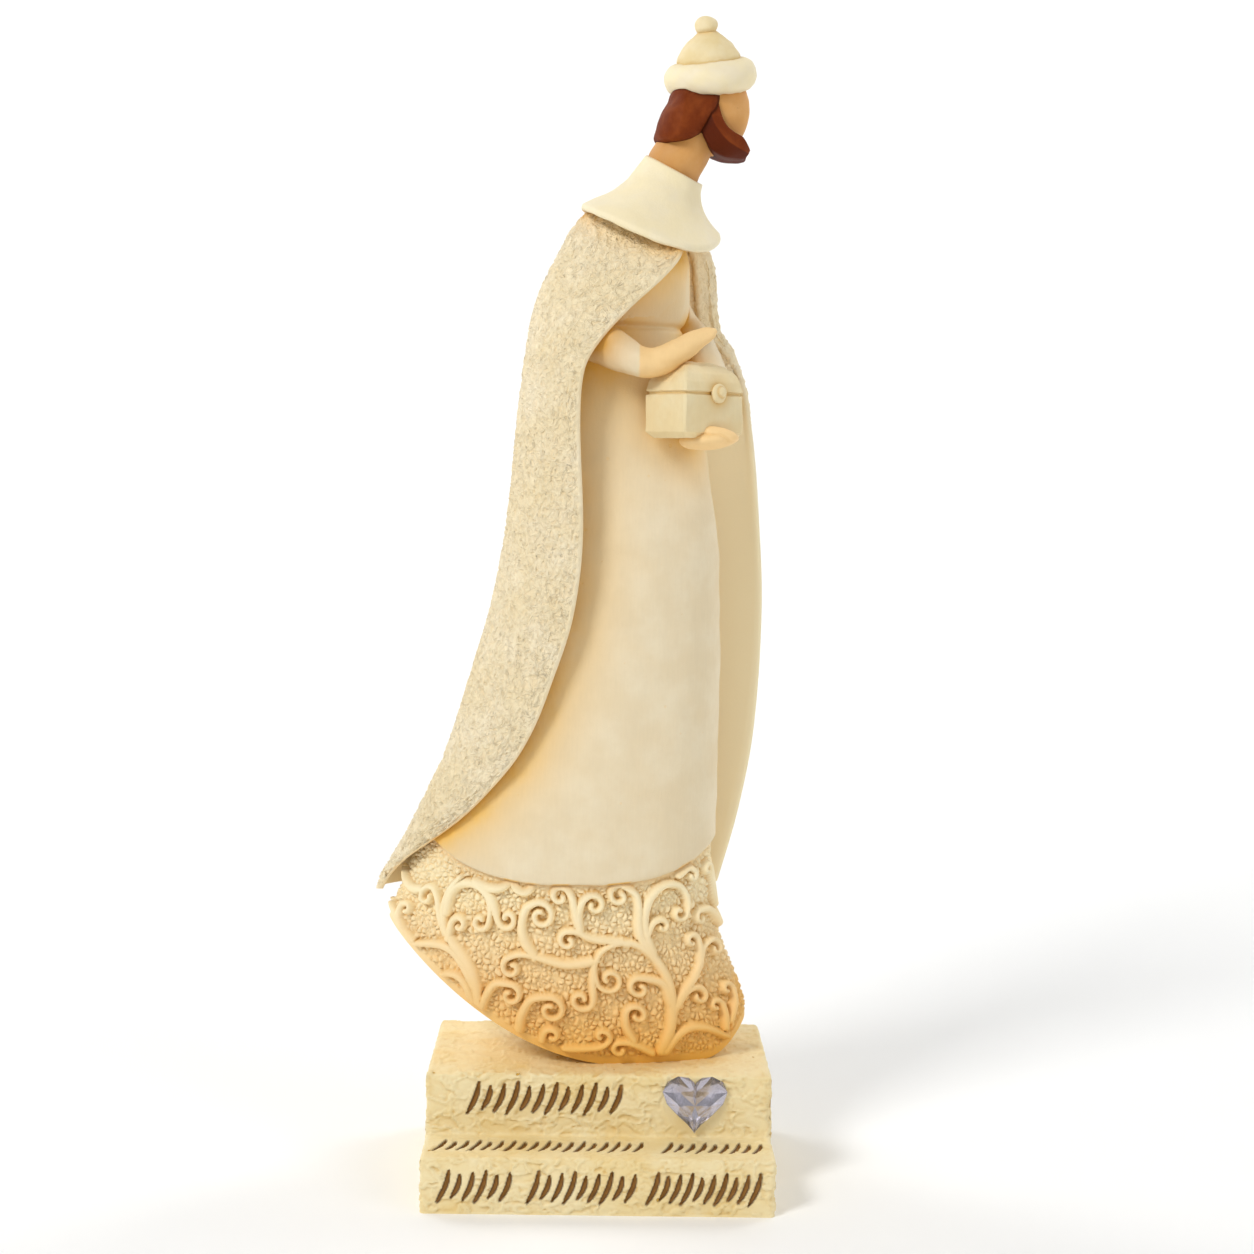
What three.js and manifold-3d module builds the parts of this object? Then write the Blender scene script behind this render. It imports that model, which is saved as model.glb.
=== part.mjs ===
// A nativity wise man in cast stone resin: a slim robed figure with a casket in its hands, on a stepped plinth
// that carries a faceted heart. Millimetres, +Z up, origin at the middle of the plinth's underside. The figure
// looks towards +X and the carved front of the plinth faces -Y.
import * as THREE from 'three';
import { mergeVertices } from 'three/addons/utils/BufferGeometryUtils.js';
import Module from 'manifold-3d';

// Plinth
const PLINTH_WIDTH = 71.4;
const PLINTH_DEPTH = 52;
const LOWER_STEP_HEIGHT = 11.5;
const TREAD_DEPTH = 13.6;
const PLINTH_HEIGHT = 24.5;
const EDGE_SOFTNESS = 0.8;
const GOUGE_DEPTH = 0.7;

// Heart
const HEART_WIDTH = 13.4;
const HEART_HEIGHT = 11.6;
const HEART_THICKNESS = 2.6;
const HEART_CENTRE_X = 19.8;
const HEART_CENTRE_Z = 18.6;

// Figure: heights of the main lines above the underside of the plinth
const FIGURE_CENTRE_Y = 7;
const SKIRT_EDGE_HEIGHT = 63.5;
const WAIST_HEIGHT = 178.3;
const SHOULDER_HEIGHT = 199;
const CAPE_TIP_HEIGHT = 58.5;
const CAPE_TOP_HEIGHT = 203;
const HEM_STEP = 1.2;

// Outline of the robe seen from the front, as [height, x], and its half depth as [height, half depth]
const ROBE_FRONT = [
  [60, 24], [98, 24.2], [112, 24.1], [123, 23.8], [133, 23.3], [141.6, 22.1], [153.4, 20.3],
  [165.9, 17.7], [174, 15.4], [178, 15], [182, 15.9], [188, 16.2], [193, 15.8], [200, 13],
];
const ROBE_HALF_DEPTH = [[60, 17.2], [100, 16.4], [130, 15.2], [160, 13.2], [178, 11.4], [190, 11.5], [200, 7]];
// The robe is flatter behind, so that the cape closes over it. Share of the half depth, as [height, share]
const ROBE_BACK_SHARE = [[60, 0.8], [100, 0.77], [130, 0.76], [160, 0.7], [178, 0.62], [190, 0.47], [200, 0.52]];

// The cape: line of the back as [height, x], near front edge as [height, x, y], far front edge as [height, x, y,
// swing], where the swing is how far the cloth behind the edge pulls forwards, or backwards below zero
const CAPE_BACK = [
  [58, -48.8], [62, -47.3], [70.8, -42.2], [79.6, -38], [88.3, -34], [105.7, -28.6], [123, -23.9],
  [140, -21.2], [161, -19.3], [178, -17.2], [186.2, -15], [194.6, -10.9], [199, -8.4], [203, -5],
];
const CAPE_NEAR_EDGE = [
  [58, -48, 6.6], [61.7, -46, 5], [66.5, -41.9, 1], [71.2, -36, -3], [76.6, -29.8, -6.3], [82.3, -24.5, -8.5],
  [89.3, -19, -10.3], [96.5, -15.1, -11.4], [105.1, -11.9, -12.2], [118.7, -7.7, -13], [134.9, -5.9, -13.5],
  [159, -6.8, -13.5], [168.7, -6.1, -13.5], [173.6, -3.7, -13.5], [180.7, 2.3, -12], [188.4, 10.2, -9],
  [192.7, 13.2, -8], [198, 13, -3.5], [203, 10, 1],
];
const CAPE_FAR_EDGE = [
  [58, 24.8, 20, -40], [74.2, 29.1, 20, -36], [92.2, 32.2, 20, -30], [118.7, 33.5, 20, -21], [140.6, 32.4, 20, -12],
  [157.9, 30.8, 19, -4], [167.8, 29, 18.5, 4], [174.5, 24.6, 17.5, 14], [179.4, 19.6, 16, 19],
  [186.7, 18.4, 14, 18.5], [194.8, 17, 12, 17], [203, 11, 9, 8],
];
const CAPE_FULL_SWING = 15;
const CAPE_BULGE = 8;
const CAPE_SHARES = 13;
const CAPE_EDGE_THICKNESS = 1.7;
const CAPE_BODY_THICKNESS = 6;

// The lower rim of the robe: it rests flat between two places and sweeps up into a train behind
const RIM_LEFT = -45.6;
const RIM_RIGHT = 31.2;
const RIM_HALF_DEPTH = 12.5;
const RIM_FLAT_FROM = 0;
const RIM_FLAT_TO = 22;

// Casket
const CASKET_CENTRE = [16.9, -7.5, 155.6];
const CASKET_SIZE = [16.5, 12];
const CASKET_TURN = 41 * Math.PI / 180;

// Head and cap
const HEAD_CENTRE = [19, 5.5, 223.2];
const HEAD_RADII = [8.6, 7.2, 10.2];
const CAP_CENTRE = [19.4, 5.5, 230.2];
const CAP_AXIS = [-0.12, -0.27, 1];
const BRIM_RADIUS = 6.5;
const BRIM_TUBE = 3.05;
const CROWN_RADIUS = 6.5;
const CROWN_HEIGHT = 9;
const BOBBLE_RADIUS = 2.4;

const wasm = await Module();
wasm.setup();

// Small mathematics

const clamp = (value, low, high) => Math.min(high, Math.max(low, value));
const lerp = (from, to, share) => from + (to - from) * share;
const smooth = (share) => share * share * (3 - 2 * share);
const vector = ([x, y, z]) => new THREE.Vector3(x, y, z);

// A smooth curve through rows of [position, value, ...], read at any position.
function through(rows, position, column = 1) {
  const last = rows.length - 1;
  const at = clamp(position, rows[0][0], rows[last][0]);
  let k = 0;
  while (k < last - 1 && rows[k + 1][0] < at) k += 1;
  const slope = (i) => {
    const before = rows[Math.max(i - 1, 0)];
    const after = rows[Math.min(i + 1, last)];
    return (after[column] - before[column]) / (after[0] - before[0]);
  };
  const span = rows[k + 1][0] - rows[k][0];
  const s = (at - rows[k][0]) / span;
  const start = rows[k][column];
  const end = rows[k + 1][column];
  return start + smooth(s) * (end - start)
    + span * s * (1 - s) * ((1 - s) * slope(k) - s * slope(k + 1));
}

function bezier(points, share) {
  const rest = 1 - share;
  const weights = [rest ** 3, 3 * rest * rest * share, 3 * rest * share * share, share ** 3];
  return [0, 1].map((axis) => points.reduce((sum, point, i) => sum + weights[i] * point[axis], 0));
}

// Solids from rings of points

function indexed(positions, triangles) {
  const geometry = new THREE.BufferGeometry();
  geometry.setAttribute('position', new THREE.Float32BufferAttribute(positions, 3));
  geometry.setIndex(triangles);
  return geometry;
}

function outward(points, triangles) {
  let volume = 0;
  for (const [a, b, c] of triangles) {
    volume += points[a].dot(new THREE.Vector3().crossVectors(points[b], points[c]));
  }
  const faces = volume < 0 ? triangles.map(([a, b, c]) => [a, c, b]) : triangles;
  return indexed(points.flatMap((point) => point.toArray()), faces.flat());
}

// Rings of equal count joined one after the other. Ends close on a middle point, or pair across the ring.
function loft(rings, pairedEnds = [false, false]) {
  const count = rings[0].length;
  const points = rings.flat();
  const triangles = [];
  for (let k = 0; k + 1 < rings.length; k += 1) {
    for (let i = 0; i < count; i += 1) {
      const a = k * count + i;
      const b = k * count + (i + 1) % count;
      triangles.push([a, b, b + count], [a, b + count, a + count]);
    }
  }
  [0, rings.length - 1].forEach((k, end) => {
    const first = k * count;
    const turned = (face) => triangles.push(end === 0 ? face : [face[0], face[2], face[1]]);
    if (pairedEnds[end]) {
      for (let i = 0; i < count / 2 - 1; i += 1) {
        const here = first + i;
        const across = first + count - 1 - i;
        turned([here, across, here + 1]);
        turned([here + 1, across, across - 1]);
      }
      return;
    }
    const middle = points.length;
    const centre = rings[k].reduce((sum, point) => sum.add(point), new THREE.Vector3()).divideScalar(count);
    points.push(centre);
    for (let i = 0; i < count; i += 1) turned([first + i, middle, first + (i + 1) % count]);
  });
  return outward(points, triangles);
}

function ring(count, place) {
  return Array.from({ length: count }, (_, i) => place((i / count) * 2 * Math.PI));
}

function steps(count, place) {
  return Array.from({ length: count + 1 }, (_, i) => place(i / count));
}

// A ring whose first and last points face each other, so that its end can pair across.
function pairedRing(count, place) {
  return Array.from({ length: count }, (_, i) => place(((i + 0.5) / count) * 2 * Math.PI));
}

// A rounded limb through stations of [x, y, z, half width, half height].
function limb(stations, sides = 12) {
  const up = new THREE.Vector3(0, 0, 1);
  const rings = stations.map((station, k) => {
    const before = vector(stations[Math.max(k - 1, 0)]);
    const after = vector(stations[Math.min(k + 1, stations.length - 1)]);
    const along = after.sub(before).normalize();
    const hint = Math.abs(along.z) > 0.85 ? new THREE.Vector3(1, 0, 0) : up;
    const across = new THREE.Vector3().crossVectors(along, hint).normalize();
    const over = new THREE.Vector3().crossVectors(across, along);
    return ring(sides, (angle) => vector(station)
      .addScaledVector(across, station[3] * Math.cos(angle))
      .addScaledVector(over, station[4] * Math.sin(angle)));
  });
  return loft(rings);
}

function egg(centre, radii, tilt = 0, detail = [20, 12]) {
  const geometry = new THREE.SphereGeometry(1, ...detail);
  geometry.rotateX(Math.PI / 2);
  geometry.scale(...radii);
  geometry.rotateY(tilt);
  geometry.translate(...centre);
  return geometry;
}

// Joins and cuts

function toManifold(geometry) {
  const bare = geometry.clone();
  bare.deleteAttribute('normal');
  bare.deleteAttribute('uv');
  const merged = mergeVertices(bare, 1e-5);
  return new wasm.Manifold(new wasm.Mesh({
    numProp: 3,
    vertProperties: new Float32Array(merged.attributes.position.array),
    triVerts: new Uint32Array(merged.index.array),
  }));
}

function join(geometries) {
  return geometries.map(toManifold).reduce((whole, piece) => whole.add(piece));
}

function toGeometry(manifold) {
  const mesh = manifold.getMesh();
  return indexed(Array.from(mesh.vertProperties), Array.from(mesh.triVerts));
}

// Robe

function rimHeight(x) {
  const train = Math.max(0, RIM_FLAT_FROM - x);
  const toe = Math.max(0, x - RIM_FLAT_TO);
  return PLINTH_HEIGHT + 0.141 * train + 0.01057 * train * train + 0.088 * toe * toe;
}

function robeRing(z) {
  const left = through(CAPE_BACK, z) + 2.2;
  const right = through(ROBE_FRONT, z) - 0.7 * Math.exp(-(((z - WAIST_HEIGHT) / 0.9) ** 2));
  return { middle: (left + right) / 2, reach: (right - left) / 2, depth: through(ROBE_HALF_DEPTH, z) };
}

// How far the skirt's lower edge rises towards its two ends.
function edgeLift(cosine) {
  return cosine > 0 ? 7.5 * cosine ** 4 : 10 * cosine * cosine;
}

// The smooth robe above the carved hem: level 0 at its lower edge, level 1 at the shoulders.
function robePoint(angle, level, inset = 0) {
  const cosine = Math.cos(angle);
  const lift = edgeLift(cosine) * (1 - level) ** 3;
  const z = lerp(SKIRT_EDGE_HEIGHT, SHOULDER_HEIGHT, level) + lift * (1 - level);
  const { middle, reach, depth } = robeRing(z);
  const sine = Math.sin(angle);
  const flatness = sine < 0 ? through(ROBE_BACK_SHARE, z) : 1;
  return new THREE.Vector3(
    middle + (reach - inset) * cosine,
    FIGURE_CENTRE_Y - (depth * flatness - inset) * sine,
    z,
  );
}

// The carved hem: level 0 at the rim, level 1 where the smooth robe begins.
function hemPoint(angle, level, inset = 0) {
  const cosine = Math.cos(angle);
  const sine = Math.sin(angle);
  const top = robePoint(angle, 0, HEM_STEP);
  const middle = (RIM_LEFT + RIM_RIGHT) / 2;
  const reach = (RIM_RIGHT - RIM_LEFT) / 2;
  const rimX = middle + reach * cosine;
  const flare = cosine > 0 ? smooth(1 - level) ** 2.2 : 1 - level;
  const spread = lerp(1 - level, flare, Math.abs(cosine));
  const belly = 1 - (1 - level) ** 2;
  const side = sine < 0 ? -1 : 1;
  const above = Math.abs(FIGURE_CENTRE_Y - robePoint(side * Math.PI / 2, 0, HEM_STEP).y);
  const depth = lerp(RIM_HALF_DEPTH, above, belly);
  return new THREE.Vector3(
    lerp(top.x, rimX, spread) - inset * cosine,
    FIGURE_CENTRE_Y - (depth - inset) * sine,
    lerp(rimHeight(rimX), top.z, level),
  );
}

function robeBody() {
  const levels = [0, 0.14, 0.34, 0.54, 0.7, 0.78, 0.83, 0.847, 0.864, 0.91, 1];
  const lip = pairedRing(30, (angle) => robePoint(angle, 0.01, 4));
  const lower = pairedRing(30, (angle) => robePoint(angle, 0, 0.3));
  return loft([lip, lower, ...levels.slice(1).map((level) => pairedRing(30, (angle) => robePoint(angle, level)))]);
}

function hemBody() {
  const levels = [0, 0.05, 0.2, 0.4, 0.65, 1];
  const rings = levels.map((level) => pairedRing(40, (angle) => hemPoint(angle, level)));
  const inside = pairedRing(40, (angle) => robePoint(angle, 0.06, 5));
  return loft([...rings, inside], [true, true]);
}

// Vine scrolls on the hem. Places are [across, up] in millimetres along the hem's surface, from the middle of the
// near side and from the rim. A tendril leaves its root, passes its via places and winds round its curl.
const TENDRIL_WIDTH = 3;
const TENDRIL_HEIGHT = 1;
const NEAR_TENDRILS = [
  { from: [-17.5, 1], via: [[-20, 8], [-27, 12]], curl: [-24, 25], radius: 1.6, hand: -1 },
  { from: [-28, 16], via: [[-23.5, 23.5]], curl: [-17.5, 20], radius: 1.9, hand: -1 },
  { from: [-19, 26.5], via: [[-15, 26]], curl: [-11, 25], radius: 2.3, hand: 1 },
  { from: [-18, 26.5], via: [[-13, 30]], curl: [-7, 35], radius: 2.3, hand: 1 },
  { from: [-27.5, 14.5], curl: [-33, 12], radius: 1.9, hand: 1 },
  { from: [-18, 3.5], via: [[-23, 8.5]], curl: [-32.5, 3] },
  { from: [-17, 1.5], curl: [-11, 9], radius: 2.1, hand: -1 },
  { from: [-9, 1.5], via: [[-5.5, 11.5]], curl: [-2.5, 10], radius: 2.7, hand: -1 },
  { from: [18, 2.5], via: [[22, 11.5], [22, 20.5], [17, 25.5], [9, 23.5]], curl: [10.5, 19], radius: 2.7, hand: 1 },
  { from: [7, 22], curl: [4, 14], radius: 2.3, hand: -1 },
  { from: [6.5, 22.5], via: [[-1, 20]], curl: [-10.5, 15], radius: 2.1, hand: 1 },
  { from: [-4.5, 20.5], curl: [-3.5, 29.5], radius: 2.3, hand: -1 },
  { from: [22, 11.5], curl: [16.5, 16.5], radius: 2.3, hand: 1 },
  { from: [13, 6], curl: [15, 11.5], radius: 2.1, hand: -1 },
  { from: [18.5, 2.5], via: [[25, 6.5]], curl: [32, 2] },
  { from: [22.5, 12], via: [[28, 17.5], [32, 21.5]], curl: [35.5, 20], radius: 1.9, hand: -1 },
  { from: [30, 19.5], curl: [29.5, 25.5], radius: 1.6, hand: 1 },
  { from: [24.5, 14], curl: [28, 14], radius: 1.9, hand: -1 },
  { from: [18.5, 25], via: [[17.5, 33]], curl: [14, 36.5], radius: 2.3, hand: 1 },
  { from: [19.5, 25], via: [[18.5, 31]], curl: [25, 34], radius: 3.5, hand: -1 },
  { from: [15.5, 26], via: [[8.5, 27]], curl: [2.5, 27], radius: 2.1, hand: 1 },
  { from: [5, 30], curl: [1.5, 35.5], radius: 2.3, hand: 1 },
  { from: [5, 30], curl: [8.5, 35], radius: 2.1, hand: -1 },
];
const FAR_TENDRIL_START = 52;
const FAR_TENDRIL_PITCH = 21;
const FAR_TENDRIL_GROUPS = 4;

// The hem's girth, walked once round halfway up, so that places across can be given in millimetres.
const GIRTH = (() => {
  const walked = [0];
  const count = 360;
  const at = (i) => hemPoint((i / count) * 2 * Math.PI, 0.5);
  for (let i = 1; i <= count; i += 1) walked.push(walked[i - 1] + at(i).distanceTo(at(i - 1)));
  return { count, walked, middle: walked[count / 4] };
})();

function hemAngle(across) {
  const whole = GIRTH.walked[GIRTH.count];
  const target = (((GIRTH.middle - across) % whole) + whole) % whole;
  const k = Math.max(1, GIRTH.walked.findIndex((length) => length >= target));
  const part = (target - GIRTH.walked[k - 1]) / (GIRTH.walked[k] - GIRTH.walked[k - 1]);
  return ((k - 1 + part) / GIRTH.count) * 2 * Math.PI;
}

const hemHeight = (angle) => hemPoint(angle, 0).distanceTo(hemPoint(angle, 1));

function hemPlace([across, up]) {
  const angle = hemAngle(across);
  return hemPoint(angle, up / hemHeight(angle));
}

// A tendril's course in [across, up], ending in a curl that tightens as it turns.
function tendrilCourse({ from, via = [], curl, radius = 0, hand = 1 }) {
  const course = [from, ...via];
  if (!radius) return [...course, curl];
  const [x, y] = course[course.length - 1];
  const distance = Math.hypot(x - curl[0], y - curl[1]);
  const facing = Math.atan2(y - curl[1], x - curl[0]);
  const entry = facing + hand * Math.acos(clamp(radius / distance, -1, 1));
  const turns = 4;
  for (let k = 0; k <= turns; k += 1) {
    const angle = entry + hand * k * 1.05;
    const reach = radius * (1 - 0.12 * k);
    course.push([curl[0] + reach * Math.cos(angle), curl[1] + reach * Math.sin(angle)]);
  }
  return course;
}

function tendril(spec) {
  const course = new THREE.CatmullRomCurve3(
    tendrilCourse(spec).map(([across, up]) => new THREE.Vector3(across, up, 0)), false, 'centripetal');
  const count = spec.via ? 8 : 6;
  const rings = steps(count, (share) => {
    const at = course.getPoint(share);
    const ahead = course.getTangent(share);
    const half = (TENDRIL_WIDTH / 2) * (1 - 0.35 * share);
    const side = [-ahead.y * half, ahead.x * half];
    const left = hemPlace([at.x + side[0], at.y + side[1]]);
    const right = hemPlace([at.x - side[0], at.y - side[1]]);
    const middle = hemPlace([at.x, at.y]);
    const forward = hemPlace([at.x + ahead.x * 0.2, at.y + ahead.y * 0.2]).sub(middle);
    const normal = new THREE.Vector3().crossVectors(forward, left.clone().sub(right)).normalize();
    left.addScaledVector(normal, -0.5);
    right.addScaledVector(normal, -0.5);
    return [left, middle.addScaledVector(normal, TENDRIL_HEIGHT), right];
  });
  return loft(rings);
}

// On the hidden side the same scrolls repeat in plain pairs.
function farTendrils() {
  return Array.from({ length: FAR_TENDRIL_GROUPS }, (_, group) => {
    const across = FAR_TENDRIL_START + group * FAR_TENDRIL_PITCH;
    const height = hemHeight(hemAngle(across));
    return [
      { from: [across, 1.5], curl: [across + 5, height * 0.55], radius: 2.4, hand: -1 },
      { from: [across - 0.5, 1.5], curl: [across - 5, height * 0.36], radius: 2, hand: 1 },
    ];
  }).flat();
}

function hemScrolls() {
  return [...NEAR_TENDRILS, ...farTendrils()].map(tendril);
}

// Cape

// The cape's cut at one height, from the near front edge round the back to the far front edge.
function capeCut(z, share) {
  const near = [through(CAPE_NEAR_EDGE, z, 1), through(CAPE_NEAR_EDGE, z, 2)];
  const far = [through(CAPE_FAR_EDGE, z, 1), through(CAPE_FAR_EDGE, z, 2)];
  const back = through(CAPE_BACK, z);
  const turn = 0.36;
  if (share < turn) {
    const corner = [back, lerp(FIGURE_CENTRE_Y, near[1], 0.55)];
    const leaving = [lerp(near[0], back, 0.55), near[1]];
    return bezier([near, leaving, corner, [back, FIGURE_CENTRE_Y]], share / turn);
  }
  const bulge = [far[0] + through(CAPE_FAR_EDGE, z, 3), far[1] + CAPE_BULGE];
  return bezier([[back, FIGURE_CENTRE_Y], [back, lerp(FIGURE_CENTRE_Y, far[1] + CAPE_BULGE - 1, 0.6)], bulge, far],
    (share - turn) / (1 - turn));
}

function capePoint(z, share, depthShare) {
  const here = capeCut(z, share);
  const before = capeCut(z, Math.max(share - 0.01, 0));
  const after = capeCut(z, Math.min(share + 0.01, 1));
  const along = [after[0] - before[0], after[1] - before[1]];
  const length = Math.hypot(...along);
  const room = 0.4 * (through(CAPE_NEAR_EDGE, z) - through(CAPE_BACK, z));
  const full = lerp(CAPE_EDGE_THICKNESS, CAPE_BODY_THICKNESS, 4 * share * (1 - share));
  const folded = clamp(through(CAPE_FAR_EDGE, z, 3) / CAPE_FULL_SWING, 0, 1);
  const farSide = lerp(full, Math.min(full, CAPE_EDGE_THICKNESS + 0.8), folded * clamp((share - 0.6) * 5, 0, 1));
  const thickness = share < 0.6 ? Math.min(full, room) : farSide;
  return new THREE.Vector3(
    here[0] + (along[1] / length) * thickness * depthShare,
    here[1] - (along[0] / length) * thickness * depthShare,
    z,
  );
}

function capeBody() {
  const heights = [
    CAPE_TIP_HEIGHT, 62, 66, 71, 77, 84, 93, 106, 124, 146, 164, 171, 177, 183, 189, 196, CAPE_TOP_HEIGHT,
  ];
  const rings = heights.map((z) => {
    const outer = steps(CAPE_SHARES, (share) => capePoint(z, share, 0));
    const inner = steps(CAPE_SHARES, (share) => capePoint(z, 1 - share, 1));
    return [...outer, ...inner];
  });
  return loft(rings, [true, true]);
}

// Collar: a short flared capelet, its rings given by their left and right ends.
const COLLAR_RINGS = [
  { left: [6.3, 213.8], right: [18.4, 208.3], depth: 6.6, slope: 0.2, droop: 0.1 },
  { left: [4.4, 211.2], right: [18, 206], depth: 7.6, slope: 0.22, droop: 0.3 },
  { left: [1.9, 208.5], right: [18.5, 203.6], depth: 9.6, slope: 0.26, droop: 0.7 },
  { left: [-2, 205.8], right: [19.9, 200.6], depth: 12.4, slope: 0.3, droop: 0.9 },
  { left: [-6.6, 203.3], right: [22, 197.1], depth: 15.2, slope: 0.32, droop: 1.2 },
];
const COLLAR_CENTRE_Y = 6;

function collarPoint(row, angle, inward = 0, drop = 0) {
  const cosine = Math.cos(angle);
  const y = COLLAR_CENTRE_Y - (row.depth - inward) * Math.sin(angle);
  const reach = (row.right[0] - row.left[0]) / 2 - inward;
  const x = (row.left[0] + row.right[0]) / 2 + reach * cosine;
  // It dips in front and lies almost level behind, closing over the top of the cape
  const behind = y - COLLAR_CENTRE_Y;
  const dip = 0.575 * behind - 0.425 * (Math.hypot(behind, 2) - 2);
  const lean = row.slope * dip - row.droop * Math.sin(2 * angle);
  return new THREE.Vector3(x, y, lerp(row.left[1], row.right[1], (1 + cosine) / 2) + lean - drop);
}

function collarBody() {
  const rim = COLLAR_RINGS[COLLAR_RINGS.length - 1];
  const outside = COLLAR_RINGS.map((row) => ring(26, (angle) => collarPoint(row, angle)));
  const edge = ring(26, (angle) => collarPoint(rim, angle, 0.3, 1.1));
  const under = ring(26, (angle) => collarPoint(rim, angle, 6, -1.5));
  return loft([...outside, edge, under]);
}

// Arms and hands

function armsAndHands() {
  const nearArm = limb([
    [-2, 0, 188, 3.6, 3.6], [-4.5, -3.5, 181, 3.8, 3.8], [-5, -7.4, 176.2, 3.9, 4.2], [0, -10.4, 173.2, 4, 4.4],
    [5.2, -12, 170.7, 3.2, 3.3],
  ], 10);
  const nearHand = limb([
    [3.8, -11.8, 170.5, 2.7, 3], [7.5, -12, 170.3, 2.9, 3.4], [10.8, -12, 171.1, 2.9, 3.4],
    [14, -11.8, 172.8, 2.8, 2.9], [17.2, -11.2, 174.8, 2.4, 2.3], [19.6, -10.8, 176.2, 1.7, 1.5],
    [20.8, -10.6, 176.6, 0.6, 0.5],
  ], 10);
  const farArm = limb([
    [9, 11, 190, 4, 4], [15, 10.5, 181, 4.2, 4.2], [19.5, 7.5, 174, 4, 4], [22, 2, 166, 3.6, 3.6],
    [22.2, -4, 158, 2.8, 2.8],
  ], 10);
  const farHand = egg([20, -9.6, 155.4], [6, 5.2, 2.1], 0, [16, 8]);
  const fingertips = egg([21.6, -12.6, 156.4], [4, 1.7, 1.6], 0, [12, 8]);
  return [nearArm, nearHand, farArm, farHand, fingertips];
}

// Casket

function casketRing(inset, height) {
  const [length, width] = CASKET_SIZE.map((size) => size / 2 - inset);
  const cut = 0.9;
  const corners = [
    [length - cut, -width], [length, cut - width], [length, width - cut], [length - cut, width],
    [cut - length, width], [-length, width - cut], [-length, cut - width], [cut - length, -width],
  ];
  const [x, y, z] = CASKET_CENTRE;
  const cosine = Math.cos(CASKET_TURN);
  const sine = Math.sin(CASKET_TURN);
  return corners.map(([u, v]) => new THREE.Vector3(x + u * cosine - v * sine, y + u * sine + v * cosine, z + height));
}

function casketBody() {
  const profile = [
    [1.3, 0], [0, 1.2], [0, 8.6], [0.5, 8.8], [0.5, 9.2], [0, 9.4], [0.3, 11.2], [1.1, 12.9], [2.6, 14.5],
    [4.6, 15.3],
  ];
  return loft(profile.map(([inset, height]) => casketRing(inset, height)));
}

function clasp() {
  const onFront = (geometry, outwards) => {
    geometry.translate(0, -(CASKET_SIZE[1] / 2 + outwards), 9);
    geometry.translate(1, 0, 0);
    geometry.rotateZ(CASKET_TURN);
    geometry.translate(...CASKET_CENTRE);
    return geometry;
  };
  const plate = new THREE.CylinderGeometry(1.7, 1.9, 1.4, 16);
  const button = new THREE.SphereGeometry(1.15, 12, 8);
  return [onFront(plate, 0.1), onFront(button, 0.9)];
}

// Head

function hairBody() {
  const levels = [
    { z: 228, back: 11.8, front: 21.6, depth: 7.4 },
    { z: 225.5, back: 11, front: 21, depth: 8.2 },
    { z: 221.5, back: 9.4, front: 19.4, depth: 8.7 },
    { z: 218, back: 8, front: 17.8, depth: 8.8 },
    { z: 216.2, back: 9.4, front: 14.6, depth: 7.8 },
  ];
  return loft(levels.map(({ z, back, front, depth }) => ring(16, (angle) => {
    const cosine = Math.cos(angle);
    const squared = (value) => Math.sign(value) * Math.abs(value) ** 0.6;
    return new THREE.Vector3(
      (back + front) / 2 + ((front - back) / 2) * squared(cosine),
      HEAD_CENTRE[1] - depth * squared(Math.sin(angle)),
      z,
    );
  })));
}

function headAndCap() {
  const neck = limb([
    [9.5, 7, 204, 6, 6], [11.5, 6.5, 210, 5.8, 6], [13.8, 6, 214.5, 5.6, 6.3], [16.5, 5.5, 219, 5.4, 6],
  ], 14);
  const head = egg(HEAD_CENTRE, HEAD_RADII, -0.1, [16, 9]);
  return [neck, head, beardBody(), hairBody(), ...cap()];
}

// The beard hugs the jaw from the ears to a blunt chin: rings across the head, each a slanting wedge.
function beardBody() {
  const stations = [
    { back: [19.2, 225.6], front: [21.2, 226], depth: 7.6 },
    { back: [17.6, 219], front: [21.4, 220.4], depth: 8 },
    { back: [19.2, 214.6], front: [24, 217.4], depth: 7.6 },
    { back: [22.6, 212.4], front: [26.8, 216.6], depth: 6 },
    { back: [26.4, 212.4], front: [28.2, 214.4], depth: 3.6 },
  ];
  return loft(stations.map(({ back, front, depth }) => ring(14, (angle) => {
    const share = (1 + Math.cos(angle)) / 2;
    return new THREE.Vector3(
      lerp(back[0], front[0], share),
      HEAD_CENTRE[1] - depth * Math.sign(Math.sin(angle)) * Math.abs(Math.sin(angle)) ** 0.6,
      lerp(back[1], front[1], share),
    );
  })));
}

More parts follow.
